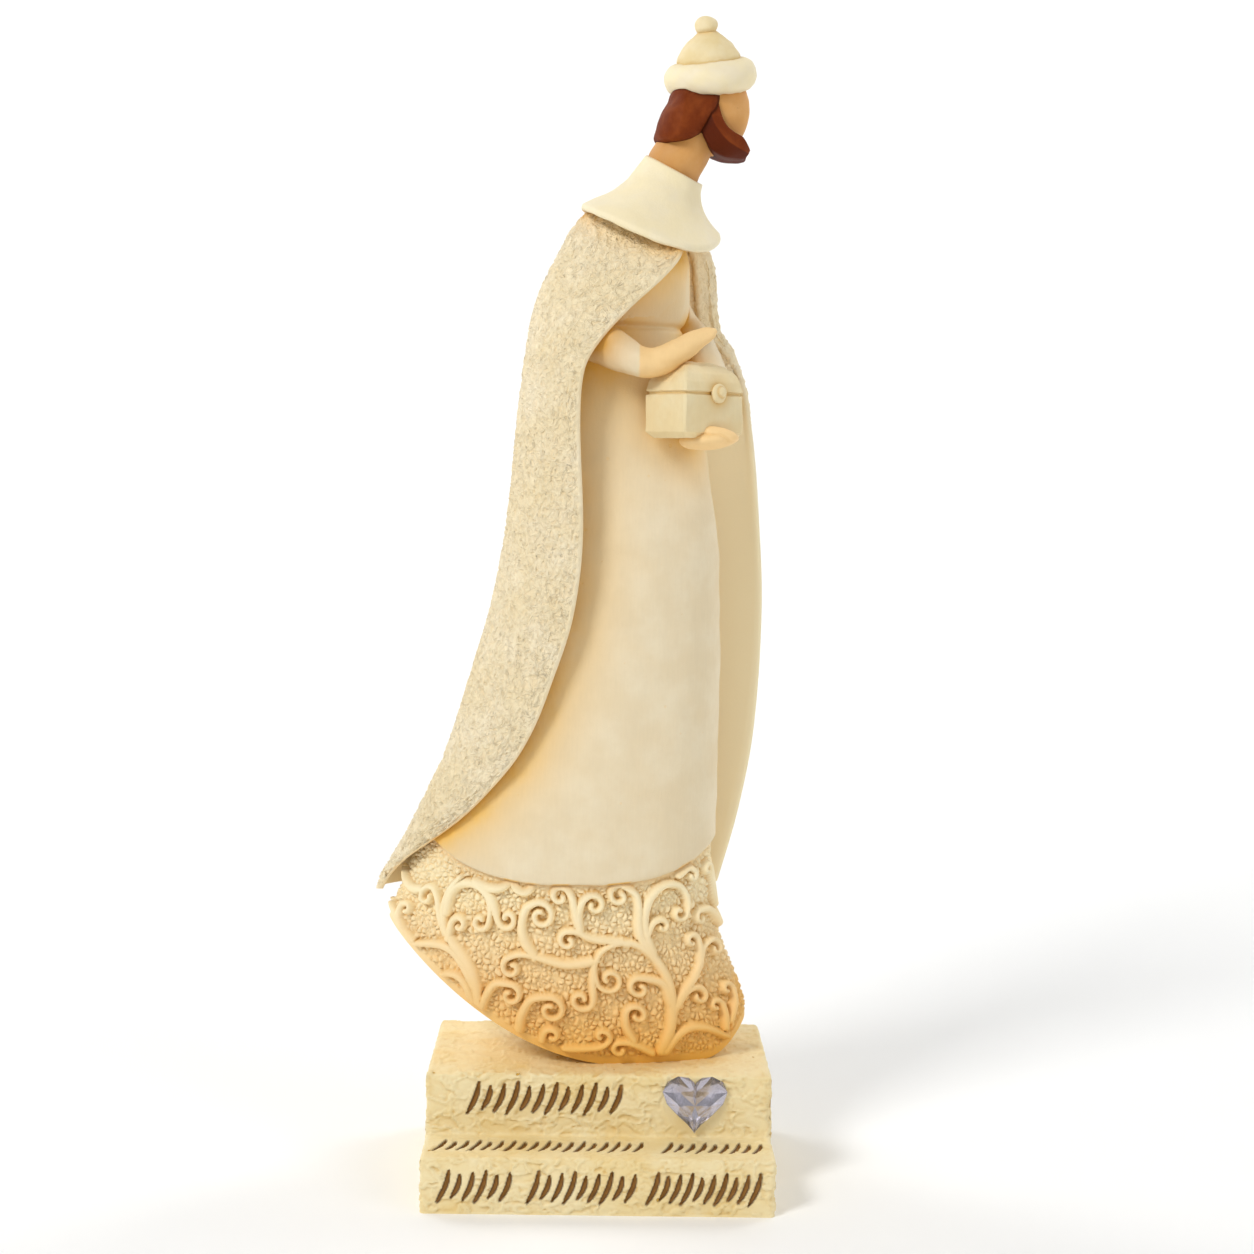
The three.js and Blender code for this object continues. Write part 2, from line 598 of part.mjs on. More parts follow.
function cap() {
  const axis = vector(CAP_AXIS).normalize();
  const turn = new THREE.Quaternion().setFromUnitVectors(new THREE.Vector3(0, 0, 1), axis);
  const seat = (geometry, along) => {
    geometry.translate(0, 0, along);
    geometry.applyQuaternion(turn);
    geometry.translate(...CAP_CENTRE);
    return geometry;
  };
  const crownProfile = [new THREE.Vector2(0, -1), new THREE.Vector2(CROWN_RADIUS, -1)];
  for (let k = 0; k <= 5; k += 1) {
    const height = (k / 5) * CROWN_HEIGHT;
    const radius = CROWN_RADIUS * Math.sqrt(Math.max(0, 1 - (height / CROWN_HEIGHT) ** 2));
    crownProfile.push(new THREE.Vector2(radius, height));
  }
  const crown = new THREE.LatheGeometry(crownProfile, 18);
  crown.rotateX(Math.PI / 2);
  const brim = new THREE.TorusGeometry(BRIM_RADIUS, BRIM_TUBE, 9, 20);
  brim.scale(1, 1, 1.13);
  const bobble = new THREE.SphereGeometry(BOBBLE_RADIUS, 12, 7);
  bobble.rotateX(Math.PI / 2);
  bobble.scale(1, 1, 0.85);
  return [seat(brim, -0.2), seat(crown, 0), seat(bobble, CROWN_HEIGHT + 1)];
}

// Plinth and heart

// A spindle-shaped gouge cutter lying in the surface: its middle, its long direction and the way in.
function gouge(middle, along, into, length, width) {
  const across = new THREE.Vector3().crossVectors(along, into);
  const at = (u, v, w) => vector(middle).addScaledVector(along, u).addScaledVector(across, v).addScaledVector(into, w);
  const points = [
    at(-length / 2, 0, -0.1), at(0, width / 2, -0.1), at(length / 2, 0, -0.1), at(0, -width / 2, -0.1),
    at(0, 0, GOUGE_DEPTH), at(0, 0, -0.6),
  ];
  const triangles = [];
  for (let i = 0; i < 4; i += 1) triangles.push([i, (i + 1) % 4, 4], [(i + 1) % 4, i, 5]);
  return outward(points, triangles);
}

// Rows of slanting gouges in groups: three rows, each with its place, its height and its groups as [from, to].
const GOUGE_ROWS = [
  { face: 'upper', height: 7, middle: 19.2, pitch: 5, width: 1.7, groups: [[-26, 3.5]] },
  { face: 'tread', height: 5.6, middle: -18.6, pitch: 4.4, width: 1.5, groups: [[-32.6, 8], [14, 32.6]] },
  { face: 'lower', height: 6.8, middle: 5.6, pitch: 4.2, width: 1.6, groups: [[-31, -18.6], [-13, 6.5], [11, 31.5]] },
];
const GOUGE_SLANT = 24 * Math.PI / 180;

function gougeRow({ face, height, middle, pitch, width, groups }) {
  const lying = face === 'tread';
  const faceY = face === 'upper' ? TREAD_DEPTH - PLINTH_DEPTH / 2 : -PLINTH_DEPTH / 2;
  const up = lying ? new THREE.Vector3(0, 1, 0) : new THREE.Vector3(0, 0, 1);
  const into = lying ? new THREE.Vector3(0, 0, -1) : new THREE.Vector3(0, 1, 0);
  const along = up.clone().multiplyScalar(Math.cos(GOUGE_SLANT)).add(new THREE.Vector3(Math.sin(GOUGE_SLANT), 0, 0));
  return groups.flatMap(([from, to]) => {
    const count = Math.round((to - from) / pitch);
    return steps(count, (share) => {
      const x = lerp(from, to, share);
      const length = height * (Math.round(share * count) % 2 ? 0.72 : 1);
      const at = lying ? [x, middle, LOWER_STEP_HEIGHT] : [x, faceY, middle];
      return gouge(at, along, into, length, width);
    });
  });
}

function plinthBody() {
  const front = -PLINTH_DEPTH / 2;
  const back = PLINTH_DEPTH / 2;
  const riser = front + TREAD_DEPTH;
  const soft = EDGE_SOFTNESS;
  const outline = [
    [front, 0], [back, 0], [back, PLINTH_HEIGHT - soft], [back - soft, PLINTH_HEIGHT],
    [riser + soft, PLINTH_HEIGHT], [riser, PLINTH_HEIGHT - soft], [riser, LOWER_STEP_HEIGHT],
    [front + soft, LOWER_STEP_HEIGHT], [front, LOWER_STEP_HEIGHT - soft],
  ];
  const shape = new THREE.Shape(outline.map(([y, z]) => new THREE.Vector2(y, z)));
  const block = new THREE.ExtrudeGeometry(shape, { depth: PLINTH_WIDTH, bevelEnabled: false });
  block.rotateX(Math.PI / 2);
  block.rotateZ(Math.PI / 2);
  block.translate(-PLINTH_WIDTH / 2, 0, 0);
  return GOUGE_ROWS.flatMap(gougeRow).reduce((whole, cutter) => whole.subtract(toManifold(cutter)), toManifold(block));
}

function heartPoint(angle, share, height) {
  const x = 16 * Math.sin(angle) ** 3;
  const z = 13 * Math.cos(angle) - 5 * Math.cos(2 * angle) - 2 * Math.cos(3 * angle) - Math.cos(4 * angle);
  return new THREE.Vector3(
    HEART_CENTRE_X + (x / 32) * HEART_WIDTH * share,
    TREAD_DEPTH - PLINTH_DEPTH / 2 - height,
    HEART_CENTRE_Z + ((z + 2.5) / 29) * HEART_HEIGHT * share,
  );
}

function heartBody() {
  const sections = [[0.97, 0], [1, 0.5], [0.98, 0.9], [0.82, 1.7], [0.56, HEART_THICKNESS]];
  return loft(sections.map(([share, height]) => ring(18, (angle) => heartPoint(angle, share, height))));
}

// The assembled object

const part = new THREE.Group();

function addPiece(name, geometry, material) {
  const mesh = new THREE.Mesh(geometry, new THREE.MeshStandardMaterial(material));
  mesh.name = name;
  part.add(mesh);
}

const figure = join([
  hemBody(), ...hemScrolls(), robeBody(), capeBody(), collarBody(), ...armsAndHands(), casketBody(), ...clasp(), ...headAndCap(),
]);

addPiece('figure', toGeometry(figure), { color: 0xe8d9b5, roughness: 0.75, metalness: 0 });
addPiece('plinth', toGeometry(plinthBody()), { color: 0xe6d3a3, roughness: 0.8, metalness: 0 });
addPiece('heart_gem', heartBody(), { color: 0xb9b7c2, roughness: 0.08, metalness: 0 });

export default part;
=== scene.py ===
import math
import bpy
import numpy as np
from bpy.props import FloatProperty, FloatVectorProperty, IntProperty, PointerProperty
from mathutils import Matrix, Vector
from mathutils.bvhtree import BVHTree


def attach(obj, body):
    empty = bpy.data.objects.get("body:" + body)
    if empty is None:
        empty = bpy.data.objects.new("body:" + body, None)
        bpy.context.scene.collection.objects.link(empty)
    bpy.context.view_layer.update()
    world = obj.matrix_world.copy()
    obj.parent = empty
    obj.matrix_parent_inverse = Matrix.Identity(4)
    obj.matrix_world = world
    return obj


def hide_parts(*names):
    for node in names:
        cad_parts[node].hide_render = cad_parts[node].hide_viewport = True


bl_info = {
    "name": "Nativity wise man figurine",
    "version": (1, 0, 0),
    "blender": (4, 5, 0),
    "location": "3D View > Sidebar > Figurine",
    "description": "Dresses the packed figurine in carved, painted and antiqued cast resin",
    "category": "Object",
}

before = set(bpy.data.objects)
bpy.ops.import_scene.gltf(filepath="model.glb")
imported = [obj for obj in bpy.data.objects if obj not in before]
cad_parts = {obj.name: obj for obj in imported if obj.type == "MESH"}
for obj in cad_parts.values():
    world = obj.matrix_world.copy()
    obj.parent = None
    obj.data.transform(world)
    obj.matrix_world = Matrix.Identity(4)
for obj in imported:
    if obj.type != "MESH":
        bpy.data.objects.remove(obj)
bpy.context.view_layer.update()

# All shapes below are worked out in millimetres and turned to metres where a mesh is made.
MM = 0.001
# Scale of a pattern whose marks are one millimetre wide, divided by their real width where it is used
MARK_SCALE = 1 / MM

# Heights of the main lines, and the middle of the figure across its depth
FIGURE_CENTRE_Y = 7
PLINTH_TOP = 24.5
SKIRT_EDGE_HEIGHT = 63.5
WAIST_HEIGHT = 178.3
SHOULDER_HEIGHT = 199
CAPE_TIP_HEIGHT = 58.5
CAPE_TOP_HEIGHT = 203
HEM_STEP = 1.2
# The robe is tied in round the waist by a groove: its half height, its depth in front and at the sides
TIE_HALF_HEIGHT = 0.65
TIE_IN_FRONT = 0.7
TIE_AT_SIDES = 1.1
# How far the robe's lower edge lifts over the toe and behind
EDGE_LIFT_TOE = 7.5
EDGE_LIFT_BEHIND = 10

# Robe seen from the front as (height, x), its half depth as (height, half depth)
ROBE_FRONT = (
    (60, 24), (98, 24.2), (112, 24.1), (123, 23.8), (133, 23.3), (141.6, 22.1), (153.4, 20.3),
    (165.9, 17.7), (174, 15.4), (178, 15), (182, 15.9), (188, 16.2), (193, 15.8), (200, 13),
)
ROBE_HALF_DEPTH = (
    (60, 17.2), (100, 16.4), (130, 15.2), (160, 13.2), (178, 11.4), (190, 11.5), (200, 7),
)
# The robe is flatter behind, so that the cape closes over it. Share of the half depth, as (height, share)
ROBE_BACK_SHARE = (
    (60, 0.8), (100, 0.77), (130, 0.76), (160, 0.7), (178, 0.62), (190, 0.47), (200, 0.52),
)
# The robe's lower edge turns under, as (level, inset)
ROBE_EDGE_TURN = ((0.03, 4.5), (0.004, 1.6), (0.0, 1.0), (-0.001, 0.6), (0.0, 0.25), (0.003, 0.06))
# Room between the cape's back and the robe
CAPE_ROOM = 2.2

# Cape: its back as (height, x), near edge as (height, x, y), far edge as (height, x, y, swing)
CAPE_BACK = (
    (58, -48.8), (62, -47.3), (70.8, -42.2), (79.6, -38), (88.3, -34), (105.7, -28.6), (123, -23.9),
    (140, -21.2), (161, -19.3), (178, -17.2), (186.2, -15), (194.6, -10.9), (199, -8.4), (203, -5),
)
CAPE_NEAR_EDGE = (
    (58, -48, 6.6), (61.7, -46, 5), (66.5, -41.9, 1), (71.2, -36, -3), (76.6, -29.8, -6.3),
    (82.3, -24.5, -8.5), (89.3, -19, -10.3), (96.5, -15.1, -11.4), (105.1, -11.9, -12.2),
    (118.7, -7.7, -13), (134.9, -5.9, -13.5), (159, -6.8, -13.5), (168.7, -6.1, -13.5),
    (173.6, -3.7, -13.5), (180.7, 2.3, -12), (188.4, 10.2, -9), (192.7, 13.2, -8), (198, 13, -3.5),
    (203, 10, 1),
)
CAPE_FAR_EDGE = (
    (58, 24.8, 20, -40), (74.2, 29.1, 20, -36), (92.2, 32.2, 20, -30), (118.7, 33.5, 20, -21),
    (140.6, 32.4, 20, -12), (157.9, 30.8, 19, -4), (167.8, 29, 18.5, 4), (174.5, 24.6, 17.5, 14),
    (179.4, 19.6, 16, 19), (186.7, 18.4, 14, 18.5), (194.8, 17, 12, 17), (203, 11, 9, 8),
)
CAPE_FULL_SWING = 15
CAPE_BULGE = 8
CAPE_NEAR_SHARE = 0.36
CAPE_EDGE_THICKNESS = 1.7
CAPE_FOLD_THICKNESS = 2.5
CAPE_BODY_THICKNESS = 6

# Lower rim of the robe: flat between two places, swept up into a train behind and a toe in front
RIM_LEFT = -45.6
RIM_RIGHT = 31.2
RIM_HALF_DEPTH = 12.5
RIM_FLAT_FROM = 0
RIM_FLAT_TO = 22
TRAIN_SLOPE = 0.141
TRAIN_CURVE = 0.01057
TOE_CURVE = 0.088

# Vine scrolls as (root, places passed, middle of the curl or end, radius, hand, half width at the root).
# Places are (across, height) in millimetres from the middle of the near side and from the rim's lowest line.
# Radius 0 is a plain end.
SCROLLS = (
    ((18.3, 2.8), ((20.8, 7.8), (22.2, 12.8), (22.5, 17.4), (21.2, 21.6), (19.1, 24.4),
                   (16.4, 26.3), (12.9, 26.6), (9.5, 25.2), (7.6, 22.3)), (10.3, 18.9), 2.8, 1, 1.3),
    ((15.2, 26.5), ((10.6, 27.2), (7, 27.9), (4.3, 29.2)), (2.3, 27.3), 2, 1, 1.1),
    ((19.1, 25), ((17.8, 27.8), (17.6, 30.4), (17.8, 33.3), (17.4, 36.6)), (13.9, 36.6), 2.4, 1, 1.2),
    ((20, 24), ((19.1, 27.6), (19, 32), (20.3, 35.5), (22.6, 37.8), (24.9, 38.5), (27.5, 37.6),
                (29, 34.7)), (26.9, 32.2), 1.8, -1, 1.25),
    ((19.1, 27.6), ((20.7, 30.5),), (22.6, 29.7), 1.5, -1, 0.9),
    ((27.1, 40.1), ((29.9, 41.5),), (30.3, 39.8), 1.2, -1, 0.85),
    ((39.8, 32), ((39.1, 35.4), (37.7, 39.5)), (35.7, 40.3), 1.5, 1, 1),
    ((41, 27.5), ((36.4, 31.5),), (32.6, 30.4), 1.6, 1, 1),
    ((22.5, 12), ((25.6, 15.4), (28.4, 18.1), (30.4, 20.8), (32.2, 24)), (35.5, 23.3), 1.9, -1, 1.2),
    ((30.4, 20.8), ((31.2, 23.8),), (29.4, 25.7), 1.7, 1, 0.95),
    ((23.1, 12.3), ((25.2, 14.7),), (28.1, 14), 2, -1, 1),
    ((32.1, 6.4), ((32.8, 9.6),), (31.2, 11.3), 1.5, 1, 0.9),
    ((33.6, 7.8), ((36, 11.6),), (35, 14.3), 1.5, 1, 0.9),
    ((22, 12.8), ((21.3, 17.3),), (16.2, 16.8), 2.3, 1, 1.1),
    ((13.3, 5.5), ((12.3, 8.5),), (14.7, 11), 2.2, -1, 1),
    ((16.5, 2.5), ((14, 4.2), (12.3, 5)), (10.6, 3.5), 1.6, 1, 0.9),
    ((0, 3.7), ((4, 3.8), (7, 4.2)), (7.4, 6.5), 1.7, 1, 0.9),
    ((19.1, 2.7), ((22, 6.1), (24.5, 7.4), (27.4, 7.2)), (32.9, 4), 0, 1, 1.1),
    ((7.5, 22.1), ((6.9, 18.4), (6.6, 15.4)), (4.1, 14.6), 2.4, -1, 1),
    ((8, 23.1), ((5.3, 22.5), (1.3, 22.2), (-2.9, 23.2), (-6, 24), (-8.6, 24.1)),
     (-10.2, 21.2), 2.2, 1, 1.15),
    ((-17.3, 10.9), ((-18.4, 17), (-20.6, 21.5), (-24.2, 25.6), (-26.6, 29), (-27.3, 32.5),
                     (-26.4, 36.5)), (-23.6, 39.6), 0, 1, 1.3),
    ((-26.6, 31.8), ((-26.2, 35.4), (-24.4, 37.7), (-21, 38.5), (-17.9, 37.8), (-15.7, 35.8),
                     (-15.1, 33)), (-17.5, 30.7), 2, -1, 1.1),
    ((-17.2, 37.6), ((-15.3, 36), (-13.9, 32.9)), (-11, 31.6), 2.2, 1, 1.05),
    ((-19.5, 38.6), ((-15.4, 37.8), (-12.1, 38.2)), (-9.5, 40), 0, 1, 1.2),
    ((-9.6, 39.7), (), (-6.7, 39.4), 2.3, 1, 1),
    ((-26, 27.4), ((-27.9, 30.9), (-29.3, 34.4)), (-32.2, 34.5), 2.3, 1, 1.1),
    ((-38, 26.8), (), (-37, 30.8), 1.6, -1, 0.9),
    ((-25.3, 26.2), (), (-22.9, 29.4), 1.9, -1, 0.95),
    ((-18.6, 16.5), ((-21.3, 21), (-23.6, 23.4), (-26.3, 24.5), (-29.3, 24.5)), (-33.6, 23.8), 0, 1, 1.2),
    ((-18.6, 12), ((-20.3, 16.4), (-22.1, 18.2), (-24.2, 18.6)), (-26.6, 17.7), 0, 1, 1.1),
    ((-17.1, 11), ((-15.7, 15), (-13.8, 17.4)), (-10.7, 15.2), 2.3, -1, 1),
    ((-9.2, 7.3), ((-8.4, 10.9), (-6.3, 14.3)), (-2.3, 12.3), 2.8, -1, 1.05),
    ((-4.7, 4.7), (), (-2.4, 6.5), 1.7, -1, 0.9),
    ((-5, 23.6), ((-7.1, 26.8), (-7.7, 30.5), (-6.4, 34)), (-3.3, 32.5), 2.9, -1, 1.15),
    ((5, 29.4), ((4.3, 32.9), (3.9, 35.9)), (1.3, 36.6), 2.2, 1, 1),
    ((4.9, 29.4), ((4.9, 32.7), (5.9, 35.4)), (8.4, 34.8), 2.2, -1, 1),
    ((-33.4, 24.4), ((-36.2, 26.2), (-38.8, 29)), (-42, 31), 0, 1, 1.15),
    ((-33.8, 35.6), ((-37, 35.4), (-39.6, 36.4)), (-42.5, 38.4), 0, 1, 1.1),
)
SCROLL_END_HALF_WIDTH = 0.62
# Curls are drawn in this many steps, and the stems in steps of this length
CURL_STEPS = 12
STEM_STEP = 0.3
# Columns of the hem round its near side, rows up it, and places at which its girth is walked
HEM_COLUMNS = 420
HEM_ROWS = 138
HEM_TURNS = 720

# Collar rings from its neck to its rim: left (x, z), right (x, z), depth, slope, droop
COLLAR_RINGS = (
    (0, 6.3, 213.8, 18.4, 208.3, 6.6, 0.2, 0.1),
    (1, 4.4, 211.2, 18, 206, 7.6, 0.22, 0.3),
    (2, 1.9, 208.5, 18.5, 203.6, 9.6, 0.26, 0.7),
    (3, -2, 205.8, 19.9, 200.6, 12.4, 0.3, 0.9),
    (4, -6.6, 203.8, 22, 198.2, 15.2, 0.32, 1.2),
)
COLLAR_CENTRE_Y = 6
# The collar turns in at the neck and under at the rim, as (inward, drop)
COLLAR_NECK_TURN = ((2.5, 2.2), (1.1, 0.9), (0.75, 0.1), (0.4, -0.15), (0.1, 0))
COLLAR_RIM_TURN = ((-0.12, 0.35), (-0.18, 0.8), (-0.05, 1.25), (0.4, 1.5), (1.2, 1.4), (3, 0.6), (6, -1.4))

# Limbs as stations of (x, y, z, half width, half height)
NEAR_ARM = (
    (-2, 1, 187, 3.2, 3.2), (-4.5, -2, 180.5, 3.4, 3.4), (-5, -5, 176, 3.4, 3.9),
    (0, -9, 173.4, 3.4, 4.3), (4.6, -11.6, 171.1, 3.1, 3.2), (7.5, -12, 170.5, 2.9, 3),
    (10.8, -12, 171.3, 2.8, 3.1), (14, -11.8, 173.3, 2.6, 2.3), (17.2, -11.2, 175.4, 2.1, 1.5),
    (19.6, -10.8, 176.6, 1.5, 1.05), (20.9, -10.6, 177.2, 0.4, 0.35),
)
NEAR_CUFF_X = 5.4
FAR_ARM = (
    (8, 11, 190, 3.6, 3.6), (13.6, 10.5, 181, 3.8, 3.8), (18.4, 7.5, 174, 3.8, 3.8),
    (21.4, 2, 166, 3.5, 3.5), (22, -4, 158, 2.8, 2.8),
)
NECK = (
    (9.5, 7, 204, 6, 6), (11.5, 6.5, 210, 5.8, 6), (13.8, 6, 214.5, 5.6, 6.3), (16.5, 5.5, 219, 5.4, 6),
)
# The far hand under the casket, as middle, radii and tilt
FAR_PALM = ((20, -9.6, 155.4), (6, 5.2, 2.1), 0)
FAR_FINGERTIPS = ((21.6, -12.6, 156.4), (4, 1.7, 1.6), 0.15)

# Casket
CASKET_CENTRE = (16.9, -7.5, 155.6)
CASKET_SIZE = (16.5, 12)
CASKET_TURN = math.radians(41)
CASKET_CORNER = 0.45
CASKET_SEAM = 9
SEAM_HALF_HEIGHT = 0.25
CASKET_PROFILE = (
    (1.3, 0), (0, 1.2), (0, 8.6), (0.5, 8.8), (0.5, 9.2), (0, 9.4), (0.3, 11.2), (1.1, 12.9),
    (2.6, 14.5), (4.6, 15.3),
)
# Clasp: radii of its plate and of its button, and its place along the front
CLASP_PLATE = (1.95, 0.8, 1.95)
CLASP_BUTTON = (1.1, 0.75, 1.15)
CLASP_X = 1

# Head, hair and beard. The hair's outline is (x, z) from the side. The beard is stations along the jaw,
# each with its low line, ridge and high line as (x, z), then the half depth of the ridge and of the low line.
HEAD_CENTRE = (19.4, 5.5, 223.6)
HEAD_RADII = (8.2, 6.3, 9.6)
HEAD_TILT = -0.1
HAIR_OUTLINE = (
    (21.6, 227.6), (21.6, 226.3), (21.5, 224.6), (20.9, 222.9), (19.8, 220.9), (18.4, 218.8),
    (17.2, 217.4), (15.2, 216.3), (12.1, 215.8), (9.2, 215.9), (8.1, 217), (8.4, 219.2), (9, 221.3),
    (9.8, 223), (10.7, 224.4), (11.3, 226.4), (12.2, 227.2), (17, 227.7),
)
HAIR_MIDDLE = (14.5, 222)
HAIR_HALF_DEPTH = 8.6
BEARD_LINES = (
    (0, 17, 221.4, 19.3, 222.8, 20.9, 224, 7.4, 6.4),
    (1, 17.5, 218.4, 19.8, 220.2, 21.6, 221.2, 7.9, 6.8),
    (2, 18.6, 216.1, 21.2, 217.9, 22.8, 218.9, 8.2, 6.2),
    (3, 20, 214.3, 22.9, 216.1, 24.4, 217.7, 7.9, 5.4),
    (4, 22.6, 213.3, 24.7, 215, 26.1, 217, 7.1, 4.2),
    (5, 25.4, 213.1, 26.4, 214.3, 27.1, 215.8, 6, 3),
    (6, 26.9, 213.3, 27.4, 213.9, 27.7, 214.7, 4.9, 2.4),
)

# Cap
CAP_CENTRE = (19.4, 5.5, 230.2)
CAP_AXIS = (-0.12, -0.27, 1)
BRIM_RADIUS = 6.5
BRIM_TUBE = 3.05
CROWN_PROFILE = (
    (0, 6.3), (3.3, 6.6), (4.4, 6.25), (5.65, 5.4), (6.6, 4.55), (7.4, 3.7), (8.1, 2.85), (8.8, 1.9),
    (9.4, 0.9),
)
BOBBLE_RADII = (2.4, 2.4, 1.92)

# Plinth and heart
PLINTH_WIDTH = 71.4
PLINTH_DEPTH = 52
PLINTH_EDGE_RADIUS = 0.9
LOWER_STEP_HEIGHT = 11.5
TREAD_DEPTH = 13.6
HEART_WIDTH = 13.4
HEART_HEIGHT = 12.2
HEART_CENTRE_X = 19.8
HEART_CENTRE_Z = 18.5

# Rows of strokes as (face, middle of the row, height, pitch, width, groups as (from, to))
STROKE_ROWS = (
    ("upper", 19.2, 7, 2.7, 1.5, ((-26, 3.5),)),
    ("tread", -18.6, 6.4, 2.4, 1.2, ((-32.4, 8), (14, 32.4))),
    ("lower", 5.6, 6.8, 2.4, 1.4, ((-31, -18.6), (-13, 6.5), (11, 31.5))),
)
STROKE_SLANT = math.radians(20)
STROKE_BOW = 0.45

# Real sizes of the patterns in the paint: crinkles, the bends in them, brush hairs and casting bubbles
CRINKLE_WIDTH = 1.2
CRINKLE_BEND = 2.4
BRUSH_HAIR_WIDTH = 0.5
BUBBLE_ROOM = 4.2
BUBBLE_DEPTH = 0.2

# The camera as fitted to the photograph: its place, its turns in radians, and its focal length in pixels
CAMERA_PLACE = (-1.379, -396.0, 151.605)
CAMERA_YAW, CAMERA_PITCH, CAMERA_ROLL = 0.014075, 0.088956, 0.017945
PHOTO_PIXELS = 1254
FOCAL_PIXELS = 1904.857
SENSOR_WIDTH = 36

# Area lights in metres, as name, place, target, size, and the stage setting that holds the power
LAMPS = (
    ("Key", (-0.652, -0.67, 0.853), (0, 0, 0.12), 0.3, "key_power"),
    ("Fill", (0.8, -0.5, 0.55), (0, 0, 0.12), 0.5, "fill_power"),
    ("Backdrop left", (-1.0, 0.75, 1.1), (0.2, 1.3, 0.2), 0.8, "backdrop_power"),
    ("Backdrop right", (1.0, 0.75, 1.1), (-0.2, 1.3, 0.2), 0.8, "backdrop_power"),
)
# Paper under and behind the figurine, in metres: depth, height, radius of its bend, half width, front edge
PAPER_DEPTH, PAPER_HEIGHT, PAPER_BEND, PAPER_HALF_WIDTH, PAPER_FRONT = 1.6, 2.2, 0.7, 3.0, -3.0


def linear(hex_colour):
    """An sRGB hex colour as linear red, green, blue."""
    parts = [((hex_colour >> shift) & 255) / 255 for shift in (16, 8, 0)]
    return tuple(p / 12.92 if p <= 0.04045 else ((p + 0.055) / 1.055) ** 2.4 for p in parts)


def colour_property(name, description, hex_colour):
    return FloatVectorProperty(
        name=name, description=description, subtype="COLOR", size=3, min=0, max=1,
        default=linear(hex_colour))


def length_property(name, description, millimetres):
    return FloatProperty(
        name=name, description=description, default=millimetres * MM, min=0, max=0.02,
        precision=5, subtype="DISTANCE", unit="LENGTH")


def power_property(name, description, watts):
    return FloatProperty(name=name, description=description, default=watts, min=0, unit="POWER")


class FigurineCarving(bpy.types.PropertyGroup):
    scroll_width: FloatProperty(
        name="Scroll width", description="Widens or narrows every vine scroll",
        default=1, min=0.5, max=1.5)
    scroll_height: length_property("Scroll height", "How far the scrolls stand off the hem", 1.35)
    pebble_size: length_property("Pebble size", "Width of one pebble of the hem's ground", 1.22)
    pebble_depth: length_property("Pebble depth", "Depth of the cuts between pebbles", 0.6)
    cape_mark_size: length_property("Cape mark size", "Width of one worm mark on the cape", 1.9)
    cape_mark_depth: length_property("Cape mark depth", "Depth of the cape's marks", 0.27)
    hewn_size: length_property("Hewn mark size", "Width of one chip on the plinth", 4.4)
    hewn_depth: length_property("Hewn mark depth", "Depth of the chips on the plinth", 0.45)
    stroke_depth: length_property("Stroke depth", "Depth of the strokes cut in the plinth", 0.7)
    seed: IntProperty(name="Seed", description="Start of the random patterns", default=7, min=0, max=99)


class FigurineColours(bpy.types.PropertyGroup):
    robe: colour_property("Robe", "Smooth cloth of the robe", 0xE8D6B2)
    cape: colour_property("Cape", "Rough cloth of the cape", 0xF3E2BA)
    collar: colour_property("Collar", "Smooth short collar", 0xF5E6BD)
    hem: colour_property("Hem", "Carved hem", 0xFDECC0)
    hem_low: colour_property("Hem low", "Carved hem near the rim", 0xEFB245)
    wash: colour_property("Wash", "Golden brown that lies in the recesses", 0xD2A044)
    skin: colour_property("Skin", "Neck, face and hands", 0xDA9E55)
    hair: colour_property("Hair", "Hair and beard", 0x702E0D)
    crown: colour_property("Cap", "Crown of the cap", 0xE8D29C)
    plinth: colour_property("Plinth", "Hewn sides of the plinth", 0xF4E3B4)
    stroke: colour_property("Stroke", "Stain in the strokes", 0x452605)
    casket: colour_property("Casket", "Casket", 0xEAD5A4)
    gem: colour_property("Gem", "Back of the faceted heart", 0xB9B7C0)


class FigurineStage(bpy.types.PropertyGroup):
    floor: colour_property("Floor", "Paper under the figurine", 0xFBFBFA)
    key_power: power_property("Key", "Power of the key light", 7.0)
    fill_power: power_property("Fill", "Power of the fill light", 2.0)
    backdrop_power: power_property("Backdrop", "Power of each light on the paper behind", 8.0)
    sky_strength: FloatProperty(name="Sky", description="Strength of the even light", default=0.36, min=0)


# Small mathematics on arrays


def lerp(start, end, share):
    return start + (end - start) * share


def smooth(values, start=0, width=1):
    """Eases from 0 to 1 as the values climb from start over the width."""
    share = np.clip((values - start) / width, 0, 1)
    return share * share * (3 - 2 * share)


def through(rows, at, column=1):
    """A smooth curve through rows of (position, value, ...), read at any positions."""
    table = np.asarray(rows, float)
    x, y = table[:, 0], table[:, column]
    last = len(x) - 1
    index = np.arange(last + 1)
    before, after = np.maximum(index - 1, 0), np.minimum(index + 1, last)
    slope = (y[after] - y[before]) / (x[after] - x[before])
    at = np.clip(at, x[0], x[last])
    k = np.clip(np.searchsorted(x, at) - 1, 0, last - 1)
    span = x[k + 1] - x[k]
    s = (at - x[k]) / span
    return (y[k] + s * s * (3 - 2 * s) * (y[k + 1] - y[k])
            + span * s * (1 - s) * ((1 - s) * slope[k] - s * slope[k + 1]))


def row_at(rows, at):
    """Every value of a table between its rows, at one position."""
    return [through(rows, np.array([at]), k)[0] for k in range(1, len(rows[0]))]


def stacked(*parts):
    """Arrays of x, y and z as one array of points."""
    return np.stack(np.broadcast_arrays(*parts), -1)


def circle(count):
    """Angles of evenly spaced places round a circle."""
    return np.linspace(0, 2 * np.pi, count, endpoint=False)


